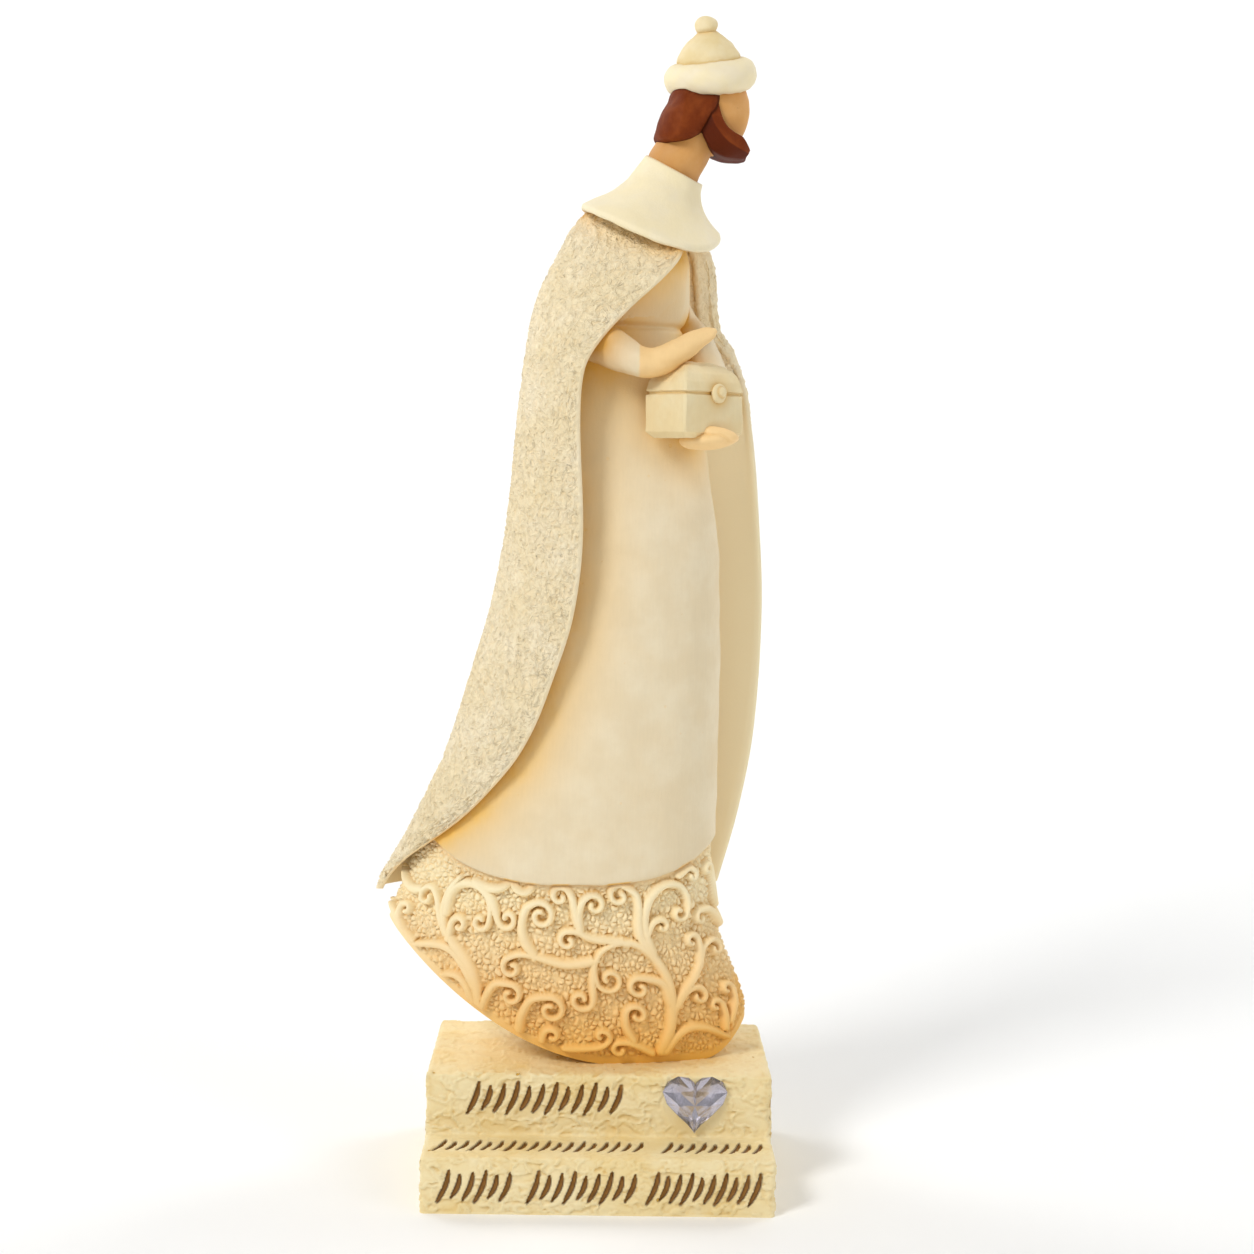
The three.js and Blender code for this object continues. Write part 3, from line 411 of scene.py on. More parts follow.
def bezier(points, share):
    """A curve between two places with two handles, all as (x, y)."""
    rest = 1 - share
    weights = (rest ** 3, 3 * rest * rest * share, 3 * rest * share * share, share ** 3)
    return [sum(w * p[axis] for w, p in zip(weights, points)) for axis in (0, 1)]


def smooth_course(points, step):
    """A centripetal curve through flat places, cut into short equal steps."""
    p = np.asarray(points, float)
    p = np.vstack([2 * p[0] - p[1], p, 2 * p[-1] - p[-2]])
    found = []
    for a, b, c, d in zip(p, p[1:], p[2:], p[3:]):
        t = np.cumsum([0] + [max(np.linalg.norm(v - u), 1e-6) ** 0.5 for u, v in ((a, b), (b, c), (c, d))])
        at = np.linspace(t[1], t[2], max(3, int(np.linalg.norm(c - b) / step * 1.2)), endpoint=False)[:, None]
        ab = (t[1] - at) / (t[1] - t[0]) * a + (at - t[0]) / (t[1] - t[0]) * b
        bc = (t[2] - at) / (t[2] - t[1]) * b + (at - t[1]) / (t[2] - t[1]) * c
        cd = (t[3] - at) / (t[3] - t[2]) * c + (at - t[2]) / (t[3] - t[2]) * d
        abc = (t[2] - at) / (t[2] - t[0]) * ab + (at - t[0]) / (t[2] - t[0]) * bc
        bcd = (t[3] - at) / (t[3] - t[1]) * bc + (at - t[1]) / (t[3] - t[1]) * cd
        found.append((t[2] - at) / (t[2] - t[1]) * abc + (at - t[1]) / (t[2] - t[1]) * bcd)
    return np.vstack(found + [p[-2:-1]])


def grid_faces(rows, columns, closed=True, first=0):
    """Four-sided faces between rows of points, closed round each row or open."""
    across = columns if closed else columns - 1
    r, c = np.meshgrid(np.arange(rows - 1), np.arange(across), indexing="ij")
    a = first + r * columns + c
    b = first + r * columns + (c + 1) % columns
    return np.stack([a, b, b + columns, a + columns], -1).reshape(-1, 4).tolist()


def softened(grid, rounds, closed=True):
    """Rows of points with their sharp corners rubbed down a little."""
    for _ in range(rounds):
        padded = np.pad(grid, ((1, 1), (0, 0), (0, 0)), mode="edge")
        across = np.roll(grid, 1, 1) + np.roll(grid, -1, 1) if closed else 2 * grid
        grid = 0.5 * grid + 0.125 * (padded[:-2] + padded[2:]) + 0.125 * across
    return grid


def end_fans(rows, columns):
    """Three-sided faces that close the first and last row of points on two middle points added after them."""
    first, last = rows * columns, (rows - 1) * columns
    near = [[(i + 1) % columns, i, first] for i in range(columns)]
    return near + [[last + i, last + (i + 1) % columns, first + 1] for i in range(columns)]


# Nodes, meshes and pieces


def add(tree, kind, inputs=(), **settings):
    """Adds a node with its settings, fills or links its inputs, and gives its first output in use."""
    node = tree.nodes.new(kind)
    for name, value in settings.items():
        setattr(node, name, value)
    pairs = inputs.items() if isinstance(inputs, dict) else enumerate(inputs)
    for key, value in pairs:
        if value is None:
            continue
        socket = node.inputs[key]
        if isinstance(value, bpy.types.NodeSocket):
            tree.links.new(value, socket)
        else:
            socket.default_value = value
    outputs = [s for s in node.outputs if s.enabled]
    return outputs[0] if outputs else node


def new_tree(name, sockets):
    """A geometry tree with named inputs, each given as (name, socket kind, default)."""
    tree = bpy.data.node_groups.new(name, "GeometryNodeTree")
    tree.interface.new_socket("Geometry", in_out="OUTPUT", socket_type="NodeSocketGeometry")
    for label, kind, default in sockets:
        made = tree.interface.new_socket(label, in_out="INPUT", socket_type="NodeSocket" + kind)
        if default is not None:
            made.default_value = default
    given = tree.nodes.new("NodeGroupInput").outputs
    return tree, given


def end_tree(tree, geometry, material):
    """Every tree ends in real geometry with its material."""
    real = add(tree, "GeometryNodeRealizeInstances", [geometry])
    dressed = add(tree, "GeometryNodeSetMaterial", {"Geometry": real, "Material": material})
    tree.links.new(dressed, tree.nodes.new("NodeGroupOutput").inputs[0])
    return tree


def store_relief(tree, geometry, total, depth, rounds, extras=()):
    """Moves the surface along its normal by total, and keeps as wash how far places lie below the rest."""
    blurred = add(tree, "GeometryNodeBlurAttribute", {"Value": total, "Iterations": rounds})
    below = add(tree, "ShaderNodeMath", [blurred, total], operation="SUBTRACT")
    share = add(tree, "ShaderNodeMath", [below, depth], operation="DIVIDE", use_clamp=True)
    before = add(tree, "GeometryNodeInputNamedAttribute", ["wash"], data_type="FLOAT")
    wash = add(tree, "ShaderNodeMath", [before, share], operation="MAXIMUM")
    for name, value in (("wash", wash), *extras):
        geometry = add(tree, "GeometryNodeStoreNamedAttribute",
                       {"Geometry": geometry, "Name": name, "Value": value},
                       data_type="FLOAT", domain="POINT")
    outwards = add(tree, "ShaderNodeVectorMath", {0: add(tree, "GeometryNodeInputNormal"), "Scale": total},
                   operation="SCALE")
    return add(tree, "GeometryNodeSetPosition", {"Geometry": geometry, "Offset": outwards})


def bent_cells(tree, place, size, seed, bend, detail, warp):
    """Places counted in marks of one size, moved on by the seed and pushed about by a soft noise."""
    cells = add(tree, "ShaderNodeVectorMath", {0: place, 1: size}, operation="DIVIDE")
    moved = add(tree, "ShaderNodeVectorMath", {0: cells, 1: seed}, operation="ADD")
    noise = add(tree, "ShaderNodeTexNoise", {"Vector": moved, "Scale": bend, "Detail": detail})
    colour = noise.node.outputs["Color"]
    push = add(tree, "ShaderNodeVectorMath", {0: colour, "Scale": warp}, operation="SCALE")
    return add(tree, "ShaderNodeVectorMath", {0: moved, 1: push}, operation="ADD")


def relief_tree():
    """Raises or sinks bands along paths on a surface, and cuts pebbles in the ground between them."""
    tree, given = new_tree("Relief along paths", (
        ("Geometry", "Geometry", None), ("Paths", "Object", None), ("Height", "Float", 0.001),
        ("Bow", "Float", 2.0), ("Steepness", "Float", 0.6), ("Pebble Size", "Float", 0.0013),
        ("Pebble Depth", "Float", 0.0003), ("Ledge", "Float", 0.0), ("Stain", "Float", 1.0),
        ("Stain Rounds", "Int", 9), ("Seed", "Float", 0.0), ("Material", "Material", None)))
    here = add(tree, "GeometryNodeInputPosition")
    info = add(tree, "GeometryNodeObjectInfo", {"Object": given["Paths"]}, transform_space="ORIGINAL")
    paths = info.node.outputs["Geometry"]
    spot = {"Geometry": paths, "Sample Position": here}
    near = add(tree, "GeometryNodeProximity", spot, target_element="EDGES")
    index = add(tree, "GeometryNodeSampleNearest", spot, domain="POINT")
    widths = add(tree, "GeometryNodeInputNamedAttribute", ["half_width"], data_type="FLOAT")
    width = add(tree, "GeometryNodeSampleIndex", {"Geometry": paths, "Value": widths, "Index": index},
                data_type="FLOAT", domain="POINT")
    # The band is a bow across its path, 1 in the middle and 0 at the path's half width
    share = add(tree, "ShaderNodeMath", [near.node.outputs["Distance"], width], operation="DIVIDE")
    capped = add(tree, "ShaderNodeMath", [share, 1.0], operation="MINIMUM")
    bowed = add(tree, "ShaderNodeMath", [capped, given["Bow"]], operation="POWER")
    inverse = add(tree, "ShaderNodeMath", [1.0, bowed], operation="SUBTRACT")
    band = add(tree, "ShaderNodeMath", [inverse, given["Steepness"]], operation="POWER")
    mask = add(tree, "GeometryNodeInputNamedAttribute", ["mask"], data_type="FLOAT")
    masked = add(tree, "ShaderNodeMath", [band, mask], operation="MULTIPLY")
    raised = add(tree, "ShaderNodeMath", [masked, given["Height"]], operation="MULTIPLY")
    # Pebbles lie where no band is, with a cut round each
    free = add(tree, "ShaderNodeMapRange", [share, 0.95, 1.3, 0.0, 1.0], interpolation_type="SMOOTHSTEP")
    bent = bent_cells(tree, here, given["Pebble Size"], given["Seed"], bend=0.9, detail=1.0, warp=0.6)
    cut = add(tree, "ShaderNodeTexVoronoi", {"Vector": bent, "Scale": 1.0}, feature="DISTANCE_TO_EDGE")
    top = add(tree, "ShaderNodeMapRange", [cut, 0.0, 0.25, -1.0, 0.0], interpolation_type="SMOOTHSTEP")
    ground = add(tree, "ShaderNodeMath", [top, given["Pebble Depth"]], operation="MULTIPLY")
    ground_masked = add(tree, "ShaderNodeMath", [ground, mask], operation="MULTIPLY")
    total = add(tree, "ShaderNodeMath", [ground_masked, free, raised], operation="MULTIPLY_ADD")
    ledged = add(tree, "ShaderNodeMath", [mask, given["Ledge"], total], operation="MULTIPLY_ADD")
    size = add(tree, "ShaderNodeMath", [given["Height"]], operation="ABSOLUTE")
    reach = add(tree, "ShaderNodeMath", [size, given["Stain"]], operation="DIVIDE")
    moved = store_relief(tree, given["Geometry"], ledged, reach, given["Stain Rounds"], [("band", masked)])
    return end_tree(tree, moved, given["Material"])


def hammered_tree():
    """Roughens a surface with hand-worked marks, from soft lumps to sharp worm-like ridges."""
    tree, given = new_tree("Hand-worked surface", (
        ("Geometry", "Geometry", None), ("Mark Size", "Float", 0.002), ("Stretch", "Float", 1.0),
        ("Depth", "Float", 0.0002), ("Ridged", "Float", 0.0), ("Warp", "Float", 0.5),
        ("Detail", "Float", 2.0), ("Stain", "Float", 0.2), ("Stain Rounds", "Int", 6),
        ("Seed", "Float", 0.0), ("Material", "Material", None)))
    here = add(tree, "GeometryNodeInputPosition")
    upright = add(tree, "ShaderNodeCombineXYZ", {"X": 1.0, "Y": 1.0, "Z": given["Stretch"]})
    stretched = add(tree, "ShaderNodeVectorMath", [here, upright], operation="MULTIPLY")
    bent = bent_cells(
        tree, stretched, given["Mark Size"], given["Seed"], bend=0.7, detail=2.0, warp=given["Warp"])
    noise = add(tree, "ShaderNodeTexNoise", {
        "Vector": bent, "Scale": 1.0, "Detail": given["Detail"], "Roughness": 0.55})
    # Lumps are the noise itself, ridges follow the lines where it passes its middle
    level = add(tree, "ShaderNodeMapRange", [noise, 0.3, 0.7, -1.0, 1.0])
    fold = add(tree, "ShaderNodeMath", [level], operation="ABSOLUTE")
    ridge = add(tree, "ShaderNodeMapRange", [fold, 0.0, 0.36, 1.0, -0.7])
    mixed = add(tree, "ShaderNodeMix", [given["Ridged"], None, level, ridge])
    mask = add(tree, "GeometryNodeInputNamedAttribute", ["mask"], data_type="FLOAT")
    masked = add(tree, "ShaderNodeMath", [mixed, mask], operation="MULTIPLY")
    total = add(tree, "ShaderNodeMath", [masked, given["Depth"]], operation="MULTIPLY")
    reach = add(tree, "ShaderNodeMath", [given["Depth"], given["Stain"]], operation="DIVIDE")
    moved = store_relief(tree, given["Geometry"], total, reach, given["Stain Rounds"])
    return end_tree(tree, moved, given["Material"])


def tree_named(name, maker):
    return bpy.data.node_groups.get(name) or maker()


def run_tree(piece, tree, values):
    """Runs a geometry tree over a piece and keeps the result as its plain mesh."""
    modifier = piece.modifiers.new(tree.name, "NODES")
    modifier.node_group = tree
    for item in tree.interface.items_tree:
        if item.item_type == "SOCKET" and item.in_out == "INPUT" and item.name in values:
            modifier[item.identifier] = values[item.name]
    graph = bpy.context.evaluated_depsgraph_get()
    result = bpy.data.meshes.new_from_object(
        piece.evaluated_get(graph), preserve_all_data_layers=True, depsgraph=graph)
    old = piece.data
    piece.modifiers.remove(modifier)
    piece.data = result
    bpy.data.meshes.remove(old)
    result.name = piece.name
    return piece


def hand_worked(piece, size, depth, seed, ridged=0.0, warp=0.5, detail=1.0, stain=0.15, stretch=1.0):
    return run_tree(piece, tree_named("Hand-worked surface", hammered_tree), {
        "Mark Size": size, "Depth": depth, "Stretch": stretch, "Ridged": ridged, "Warp": warp,
        "Detail": detail, "Stain": stain, "Seed": seed + bpy.context.scene.figurine_carving.seed,
        "Material": piece.data.materials[0]})


def solid(name, points, faces, material, attributes=None):
    """A closed mesh from points in millimetres, its faces turned outwards."""
    points = np.asarray(points, float).reshape(-1, 3)
    volume = 0.0
    for size in {len(f) for f in faces}:
        group = np.array([f for f in faces if len(f) == size])
        for k in range(1, size - 1):
            a, b, c = points[group[:, 0]], points[group[:, k]], points[group[:, k + 1]]
            volume += np.einsum("ij,ij->", a, np.cross(b, c))
    if volume < 0:
        faces = [f[::-1] for f in faces]
    mesh = bpy.data.meshes.new(name)
    mesh.from_pydata((points * MM).tolist(), [], faces)
    mesh.materials.append(material)
    mesh.shade_smooth()
    given = {"mask": 1.0, "wash": 0.0, **(attributes or {})}
    for key, value in given.items():
        layer = mesh.attributes.new(key, "FLOAT", "POINT")
        layer.data.foreach_set("value", np.broadcast_to(value, len(points)).astype(np.float32).ravel())
    mesh.validate()
    piece = bpy.data.objects.new(name, mesh)
    bpy.context.scene.collection.objects.link(piece)
    return piece


def read_attribute(piece, name):
    values = np.zeros(len(piece.data.vertices), np.float32)
    piece.data.attributes[name].data.foreach_get("value", values)
    return values


def write_attribute(piece, name, values):
    layer = piece.data.attributes.get(name) or piece.data.attributes.new(name, "FLOAT", "POINT")
    layer.data.foreach_set("value", np.asarray(values, np.float32))


def crease(piece, degrees):
    piece.data.set_sharp_from_angle(angle=math.radians(degrees))


def settle(piece, node="figure"):
    """The finished piece rides on the one body and stands for its CAD node."""
    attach(piece, "root")
    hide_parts(node)


def complete(pieces, size, depth, seed, creased=None, **marks):
    """Roughens cast pieces as by hand, keeps their sharp edges and lets them stand for the figure."""
    for k, piece in enumerate(pieces):
        hand_worked(piece, size, depth, seed + k, **marks)
        if creased:
            crease(piece, creased)
        settle(piece)


# Materials


def new_material(name):
    """A material with an empty tree."""
    material = bpy.data.materials.new(name)
    material.use_nodes = True
    material.node_tree.nodes.clear()
    return material, material.node_tree


def cast_resin(name, base, shade, light, second=None, third=None, roughness=0.62, shine=0.5, mottle=9,
               grain=0.35, grain_depth=0.04, wash_strength=1.0, joint_wash_and_shade_strength=1.0, pits=0.0, brush=0.0,
               crinkle=0.0):
    """Cast and painted resin: base colour with soft mottling, lighter where it was dry-brushed, antique wash
    in its recesses, and golden wash with painted shade where other pieces meet it. second and third are
    paints in other colours, as (attribute, colour). In millimetres, mottle and grain are widths of clouds and
    grains, and grain_depth, brush and crinkle are depths. pits is the strength of the bubble holes."""
    material, tree = new_material(name)
    place = add(tree, "ShaderNodeTexCoord").node.outputs["Object"]
    cloud = add(tree, "ShaderNodeTexNoise", {
        "Vector": place, "Scale": MARK_SCALE / mottle, "Detail": 4.0, "Roughness": 0.6})
    cloudy = add(tree, "ShaderNodeMapRange", [cloud, 0.35, 0.7, 0.0, 0.6], interpolation_type="SMOOTHSTEP")
    fine = add(tree, "ShaderNodeTexNoise", {
        "Vector": place, "Scale": MARK_SCALE / grain, "Detail": 3.0, "Roughness": 0.6})
    colour = add(tree, "ShaderNodeMix", {0: cloudy, 6: (*base, 1), 7: (*light, 1)}, data_type="RGBA")
    for attribute, paint in filter(None, (second, third)):
        painted = add(tree, "ShaderNodeAttribute", attribute_name=attribute).node.outputs["Fac"]
        colour = add(tree, "ShaderNodeMix", {0: painted, 6: colour, 7: (*paint, 1)}, data_type="RGBA")
    # The stain is antique wash in the recesses, plus golden wash with painted shade where pieces meet
    wash, pool = (add(tree, "ShaderNodeAttribute", attribute_name=key).node.outputs["Fac"]
                  for key in ("wash", "pool"))
    thick = add(tree, "ShaderNodeMath", [wash, wash_strength], operation="MULTIPLY")
    lying = add(tree, "ShaderNodeMath", [pool, joint_wash_and_shade_strength, thick], operation="MULTIPLY_ADD")
    uneven = add(tree, "ShaderNodeMapRange", [cloud, 0.3, 0.7, 0.75, 1.25])
    stain = add(tree, "ShaderNodeMath", [lying, uneven], operation="MULTIPLY", use_clamp=True)
    colour = add(tree, "ShaderNodeMix", {0: stain, 6: colour, 7: (*shade, 1)}, data_type="RGBA")
    height = add(tree, "ShaderNodeMath", [fine, grain_depth * MM], operation="MULTIPLY")
    if crinkle:
        bend = add(tree, "ShaderNodeTexNoise", {
            "Vector": place, "Scale": MARK_SCALE / CRINKLE_BEND, "Detail": 1.0})
        bent = add(tree, "ShaderNodeVectorMath", {0: bend.node.outputs["Color"], 1: (3 * MM,) * 3, 2: place},
                   operation="MULTIPLY_ADD")
        lines = add(tree, "ShaderNodeTexNoise", {
            "Vector": bent, "Scale": MARK_SCALE / CRINKLE_WIDTH, "Detail": 2.0})
        level = add(tree, "ShaderNodeMath", [lines, 0.5], operation="SUBTRACT")
        fold = add(tree, "ShaderNodeMath", [level], operation="ABSOLUTE")
        carved = add(tree, "ShaderNodeAttribute", attribute_name="mask").node.outputs["Fac"]
        # The noise strays only a tenth from its middle, so the depth is ten times the crinkle's
        depth = add(tree, "ShaderNodeMath", [carved, -crinkle * 10 * MM], operation="MULTIPLY")
        height = add(tree, "ShaderNodeMath", [fold, depth, height], operation="MULTIPLY_ADD")
        # Painted shade: the valleys of the crinkles are mixed towards the shade colour
        crinkle_shade = add(tree, "ShaderNodeMapRange", [fold, 0.0, 0.15, 0.0, 0.13])
        lying = add(tree, "ShaderNodeMath", [crinkle_shade, carved], operation="MULTIPLY")
        colour = add(tree, "ShaderNodeMix", {0: lying, 6: colour, 7: (*shade, 1)}, data_type="RGBA")
    if brush:
        streak = add(tree, "ShaderNodeMapping", {"Vector": place, "Scale": (1, 1, 0.12)})
        lines = add(tree, "ShaderNodeTexNoise", {
            "Vector": streak, "Scale": MARK_SCALE / BRUSH_HAIR_WIDTH, "Detail": 2.0})
        height = add(tree, "ShaderNodeMath", [lines, brush * MM, height], operation="MULTIPLY_ADD")
        tone = add(tree, "ShaderNodeMapRange", [lines, 0.3, 0.7, 0.985, 1.01])
        colour = add(tree, "ShaderNodeVectorMath", {0: colour, "Scale": tone}, operation="SCALE")
    if pits:
        holes = add(tree, "ShaderNodeTexVoronoi", {
            "Vector": place, "Scale": MARK_SCALE / BUBBLE_ROOM, "Randomness": 1.0})
        # Each cell draws its own size of bubble, and about half of them draw none
        size = add(tree, "ShaderNodeSeparateColor", [holes.node.outputs["Color"]])
        radius = add(tree, "ShaderNodeMapRange", [size, 0.45, 1.0, 0.0, 0.13])
        inside = add(tree, "ShaderNodeMath", [radius, holes], operation="SUBTRACT")
        hole = add(tree, "ShaderNodeMapRange", [inside, 0.0, 0.03, 0.0, pits],
                   interpolation_type="SMOOTHSTEP")
        height = add(tree, "ShaderNodeMath", [hole, -BUBBLE_DEPTH * MM, height], operation="MULTIPLY_ADD")
        colour = add(tree, "ShaderNodeMix", {0: hole, 6: colour, 7: (*shade, 1)}, data_type="RGBA")
    bump = add(tree, "ShaderNodeBump", {"Strength": 1.0, "Distance": 1.0, "Height": height})
    shader = add(tree, "ShaderNodeBsdfPrincipled", {
        "Base Color": colour, "Roughness": roughness, "Normal": bump, "IOR": 1.5,
        "Specular IOR Level": shine})
    add(tree, "ShaderNodeOutputMaterial", [shader])
    return material


# Robe, hem and cape as formulas


def rim_height(x):
    """Height of the hem's rim, which sweeps up into the train and the toe."""
    train = np.maximum(0, RIM_FLAT_FROM - x)
    toe = np.maximum(0, x - RIM_FLAT_TO)
    return PLINTH_TOP + TRAIN_SLOPE * train + TRAIN_CURVE * train * train + TOE_CURVE * toe * toe


def robe_ring(z):
    """The robe's middle, half width and half depth at one height."""
    left = through(CAPE_BACK, z) + CAPE_ROOM
    tied = np.exp(-(((z - WAIST_HEIGHT) / TIE_HALF_HEIGHT) ** 2))
    right = through(ROBE_FRONT, z) - TIE_IN_FRONT * tied
    return (left + right) / 2, (right - left) / 2, through(ROBE_HALF_DEPTH, z) - TIE_AT_SIDES * tied


def robe_point(angle, level, inset=0.0):
    """The smooth robe above the carved hem: level 0 at its lower edge, level 1 at the shoulders."""
    cosine, sine = np.cos(angle), np.sin(angle)
    edge_lift = np.where(cosine > 0, EDGE_LIFT_TOE * cosine ** 4, EDGE_LIFT_BEHIND * cosine * cosine)
    z = lerp(SKIRT_EDGE_HEIGHT, SHOULDER_HEIGHT, level) + edge_lift * (1 - level) ** 4
    middle, reach, depth = robe_ring(z)
    flatness = np.where(sine < 0, through(ROBE_BACK_SHARE, z), 1)
    return stacked(
        middle + (reach - inset) * cosine, FIGURE_CENTRE_Y - (depth * flatness - inset) * sine, z)


def hem_point(angle, level, inset=0.0):
    """The carved hem: level 0 at the rim, level 1 where the smooth robe begins."""
    cosine, sine = np.cos(angle), np.sin(angle)
    top = robe_point(angle, 0 * level, HEM_STEP)
    front, back = (
        abs(robe_point(turn, 0.0, HEM_STEP)[1] - FIGURE_CENTRE_Y) for turn in (np.pi / 2, -np.pi / 2))
    rim_x = (RIM_LEFT + RIM_RIGHT) / 2 + (RIM_RIGHT - RIM_LEFT) / 2 * cosine
    flare = np.where(cosine > 0, smooth(1 - level) ** 2.2, 1 - level)
    spread = lerp(1 - level, flare, np.abs(cosine))
    depth = lerp(RIM_HALF_DEPTH, np.where(sine < 0, back, front), 1 - (1 - level) ** 2)
    return stacked(
        lerp(top[..., 0], rim_x, spread) - inset * cosine,
        FIGURE_CENTRE_Y - (depth - inset) * sine,
        lerp(rim_height(rim_x), top[..., 2], level))


def hem_girth():
    """Angles round the hem and the length walked halfway up, so that places across can be given in length."""
    angles = np.linspace(0, 2 * np.pi, HEM_TURNS + 1)
    walked = np.linalg.norm(np.diff(hem_point(angles, 0.5 + 0 * angles), axis=0), axis=1)
    return angles, np.concatenate([[0], np.cumsum(walked)])


def cape_cut(z, share):
    """The cape's cut at one height: an arc from the near edge to its back, and one on to the far edge."""
    near = [through(CAPE_NEAR_EDGE, z, k) for k in (1, 2)]
    far = [through(CAPE_FAR_EDGE, z, k) for k in (1, 2)]
    back = [through(CAPE_BACK, z), FIGURE_CENTRE_Y]
    leaving = [lerp(near[0], back[0], 0.55), near[1]]
    arriving = [back[0], lerp(FIGURE_CENTRE_Y, near[1], 0.55)]
    first = bezier([near, leaving, arriving, back], np.clip(share / CAPE_NEAR_SHARE, 0, 1))
    bulge = [far[0] + through(CAPE_FAR_EDGE, z, 3), far[1] + CAPE_BULGE]
    turning = [back[0], lerp(FIGURE_CENTRE_Y, bulge[1] - 1, 0.6)]
    rest = np.clip((share - CAPE_NEAR_SHARE) / (1 - CAPE_NEAR_SHARE), 0, 1)
    second = bezier([back, turning, bulge, far], rest)
    return [np.where(share < CAPE_NEAR_SHARE, a, b) for a, b in zip(first, second)]


def cape_point(z, share, inward, beyond=0.0):
    """A place in the cape: inward 0 is its outer face and 1 its lining, beyond is the way past an edge."""
    here = cape_cut(z, share)
    before = cape_cut(z, np.maximum(share - 0.01, 0))
    after = cape_cut(z, np.minimum(share + 0.01, 1))
    along = [after[0] - before[0], after[1] - before[1]]
    length = np.hypot(*along)
    along = [along[0] / length, along[1] / length]
    # Thickest at the back, thin at the edges, and thin over the whole fold where the far edge turns in
    room = 0.4 * (through(CAPE_NEAR_EDGE, z) - through(CAPE_BACK, z))
    full = lerp(CAPE_EDGE_THICKNESS, CAPE_BODY_THICKNESS, 4 * share * (1 - share))
    folded = np.clip(through(CAPE_FAR_EDGE, z, 3) / CAPE_FULL_SWING, 0, 1)
    thin = np.minimum(full, CAPE_FOLD_THICKNESS)
    far_side = lerp(full, thin, folded * np.clip((share - 0.6) * 5, 0, 1))
    thickness = np.where(share < 0.6, np.minimum(full, room), far_side)
    return stacked(
        here[0] + along[1] * thickness * inward + along[0] * beyond,
        here[1] - along[0] * thickness * inward + along[1] * beyond,
        z)


def scroll_course(root, passed, end, radius, hand):
    """A scroll's line in (across, up), winding into its curl. Wider curls wind on further."""
    course = [root, *passed]
    if not radius:
        return smooth_course([*course, end], STEM_STEP)
    x, y = course[-1]
    distance = math.hypot(x - end[0], y - end[1])
    facing = math.atan2(y - end[1], x - end[0])
    entry = facing + hand * math.acos(min(1, radius / distance))
    wound = 4.3 + 1.7 * (radius - 1.4)
    for k in range(CURL_STEPS + 1):
        share = k / CURL_STEPS
        angle = entry + hand * wound * share
        reach = radius * (1 - 0.72 * share ** 1.2)
        course.append((end[0] + reach * math.cos(angle), end[1] + reach * math.sin(angle)))
    return smooth_course(course, STEM_STEP)


def path_object(name, courses):
    """Lines in millimetres as one mesh of edges, each with its half widths, for the relief to follow."""
    points, edges, widths = [], [], []
    for line, half in courses:
        edges += [(len(points) + i, len(points) + i + 1) for i in range(len(line) - 1)]
        points += (np.asarray(line) * MM).tolist()
        widths += list(np.broadcast_to(half, len(line)) * MM)
    mesh = bpy.data.meshes.new(name)
    mesh.from_pydata(points, edges, [])
    layer = mesh.attributes.new("half_width", "FLOAT", "POINT")
    layer.data.foreach_set("value", np.array(widths, np.float32))
    made = bpy.data.objects.new(name, mesh)
    bpy.context.scene.collection.objects.link(made)
    return made


def follow_paths(piece, name, courses, values):
    """Carves a relief along courses into a piece, and throws the courses away."""
    paths = path_object(name, courses)
    run_tree(piece, tree_named("Relief along paths", relief_tree), {
        **values, "Paths": paths, "Material": piece.data.materials[0]})
    mesh = paths.data
    bpy.data.objects.remove(paths)
    bpy.data.meshes.remove(mesh)


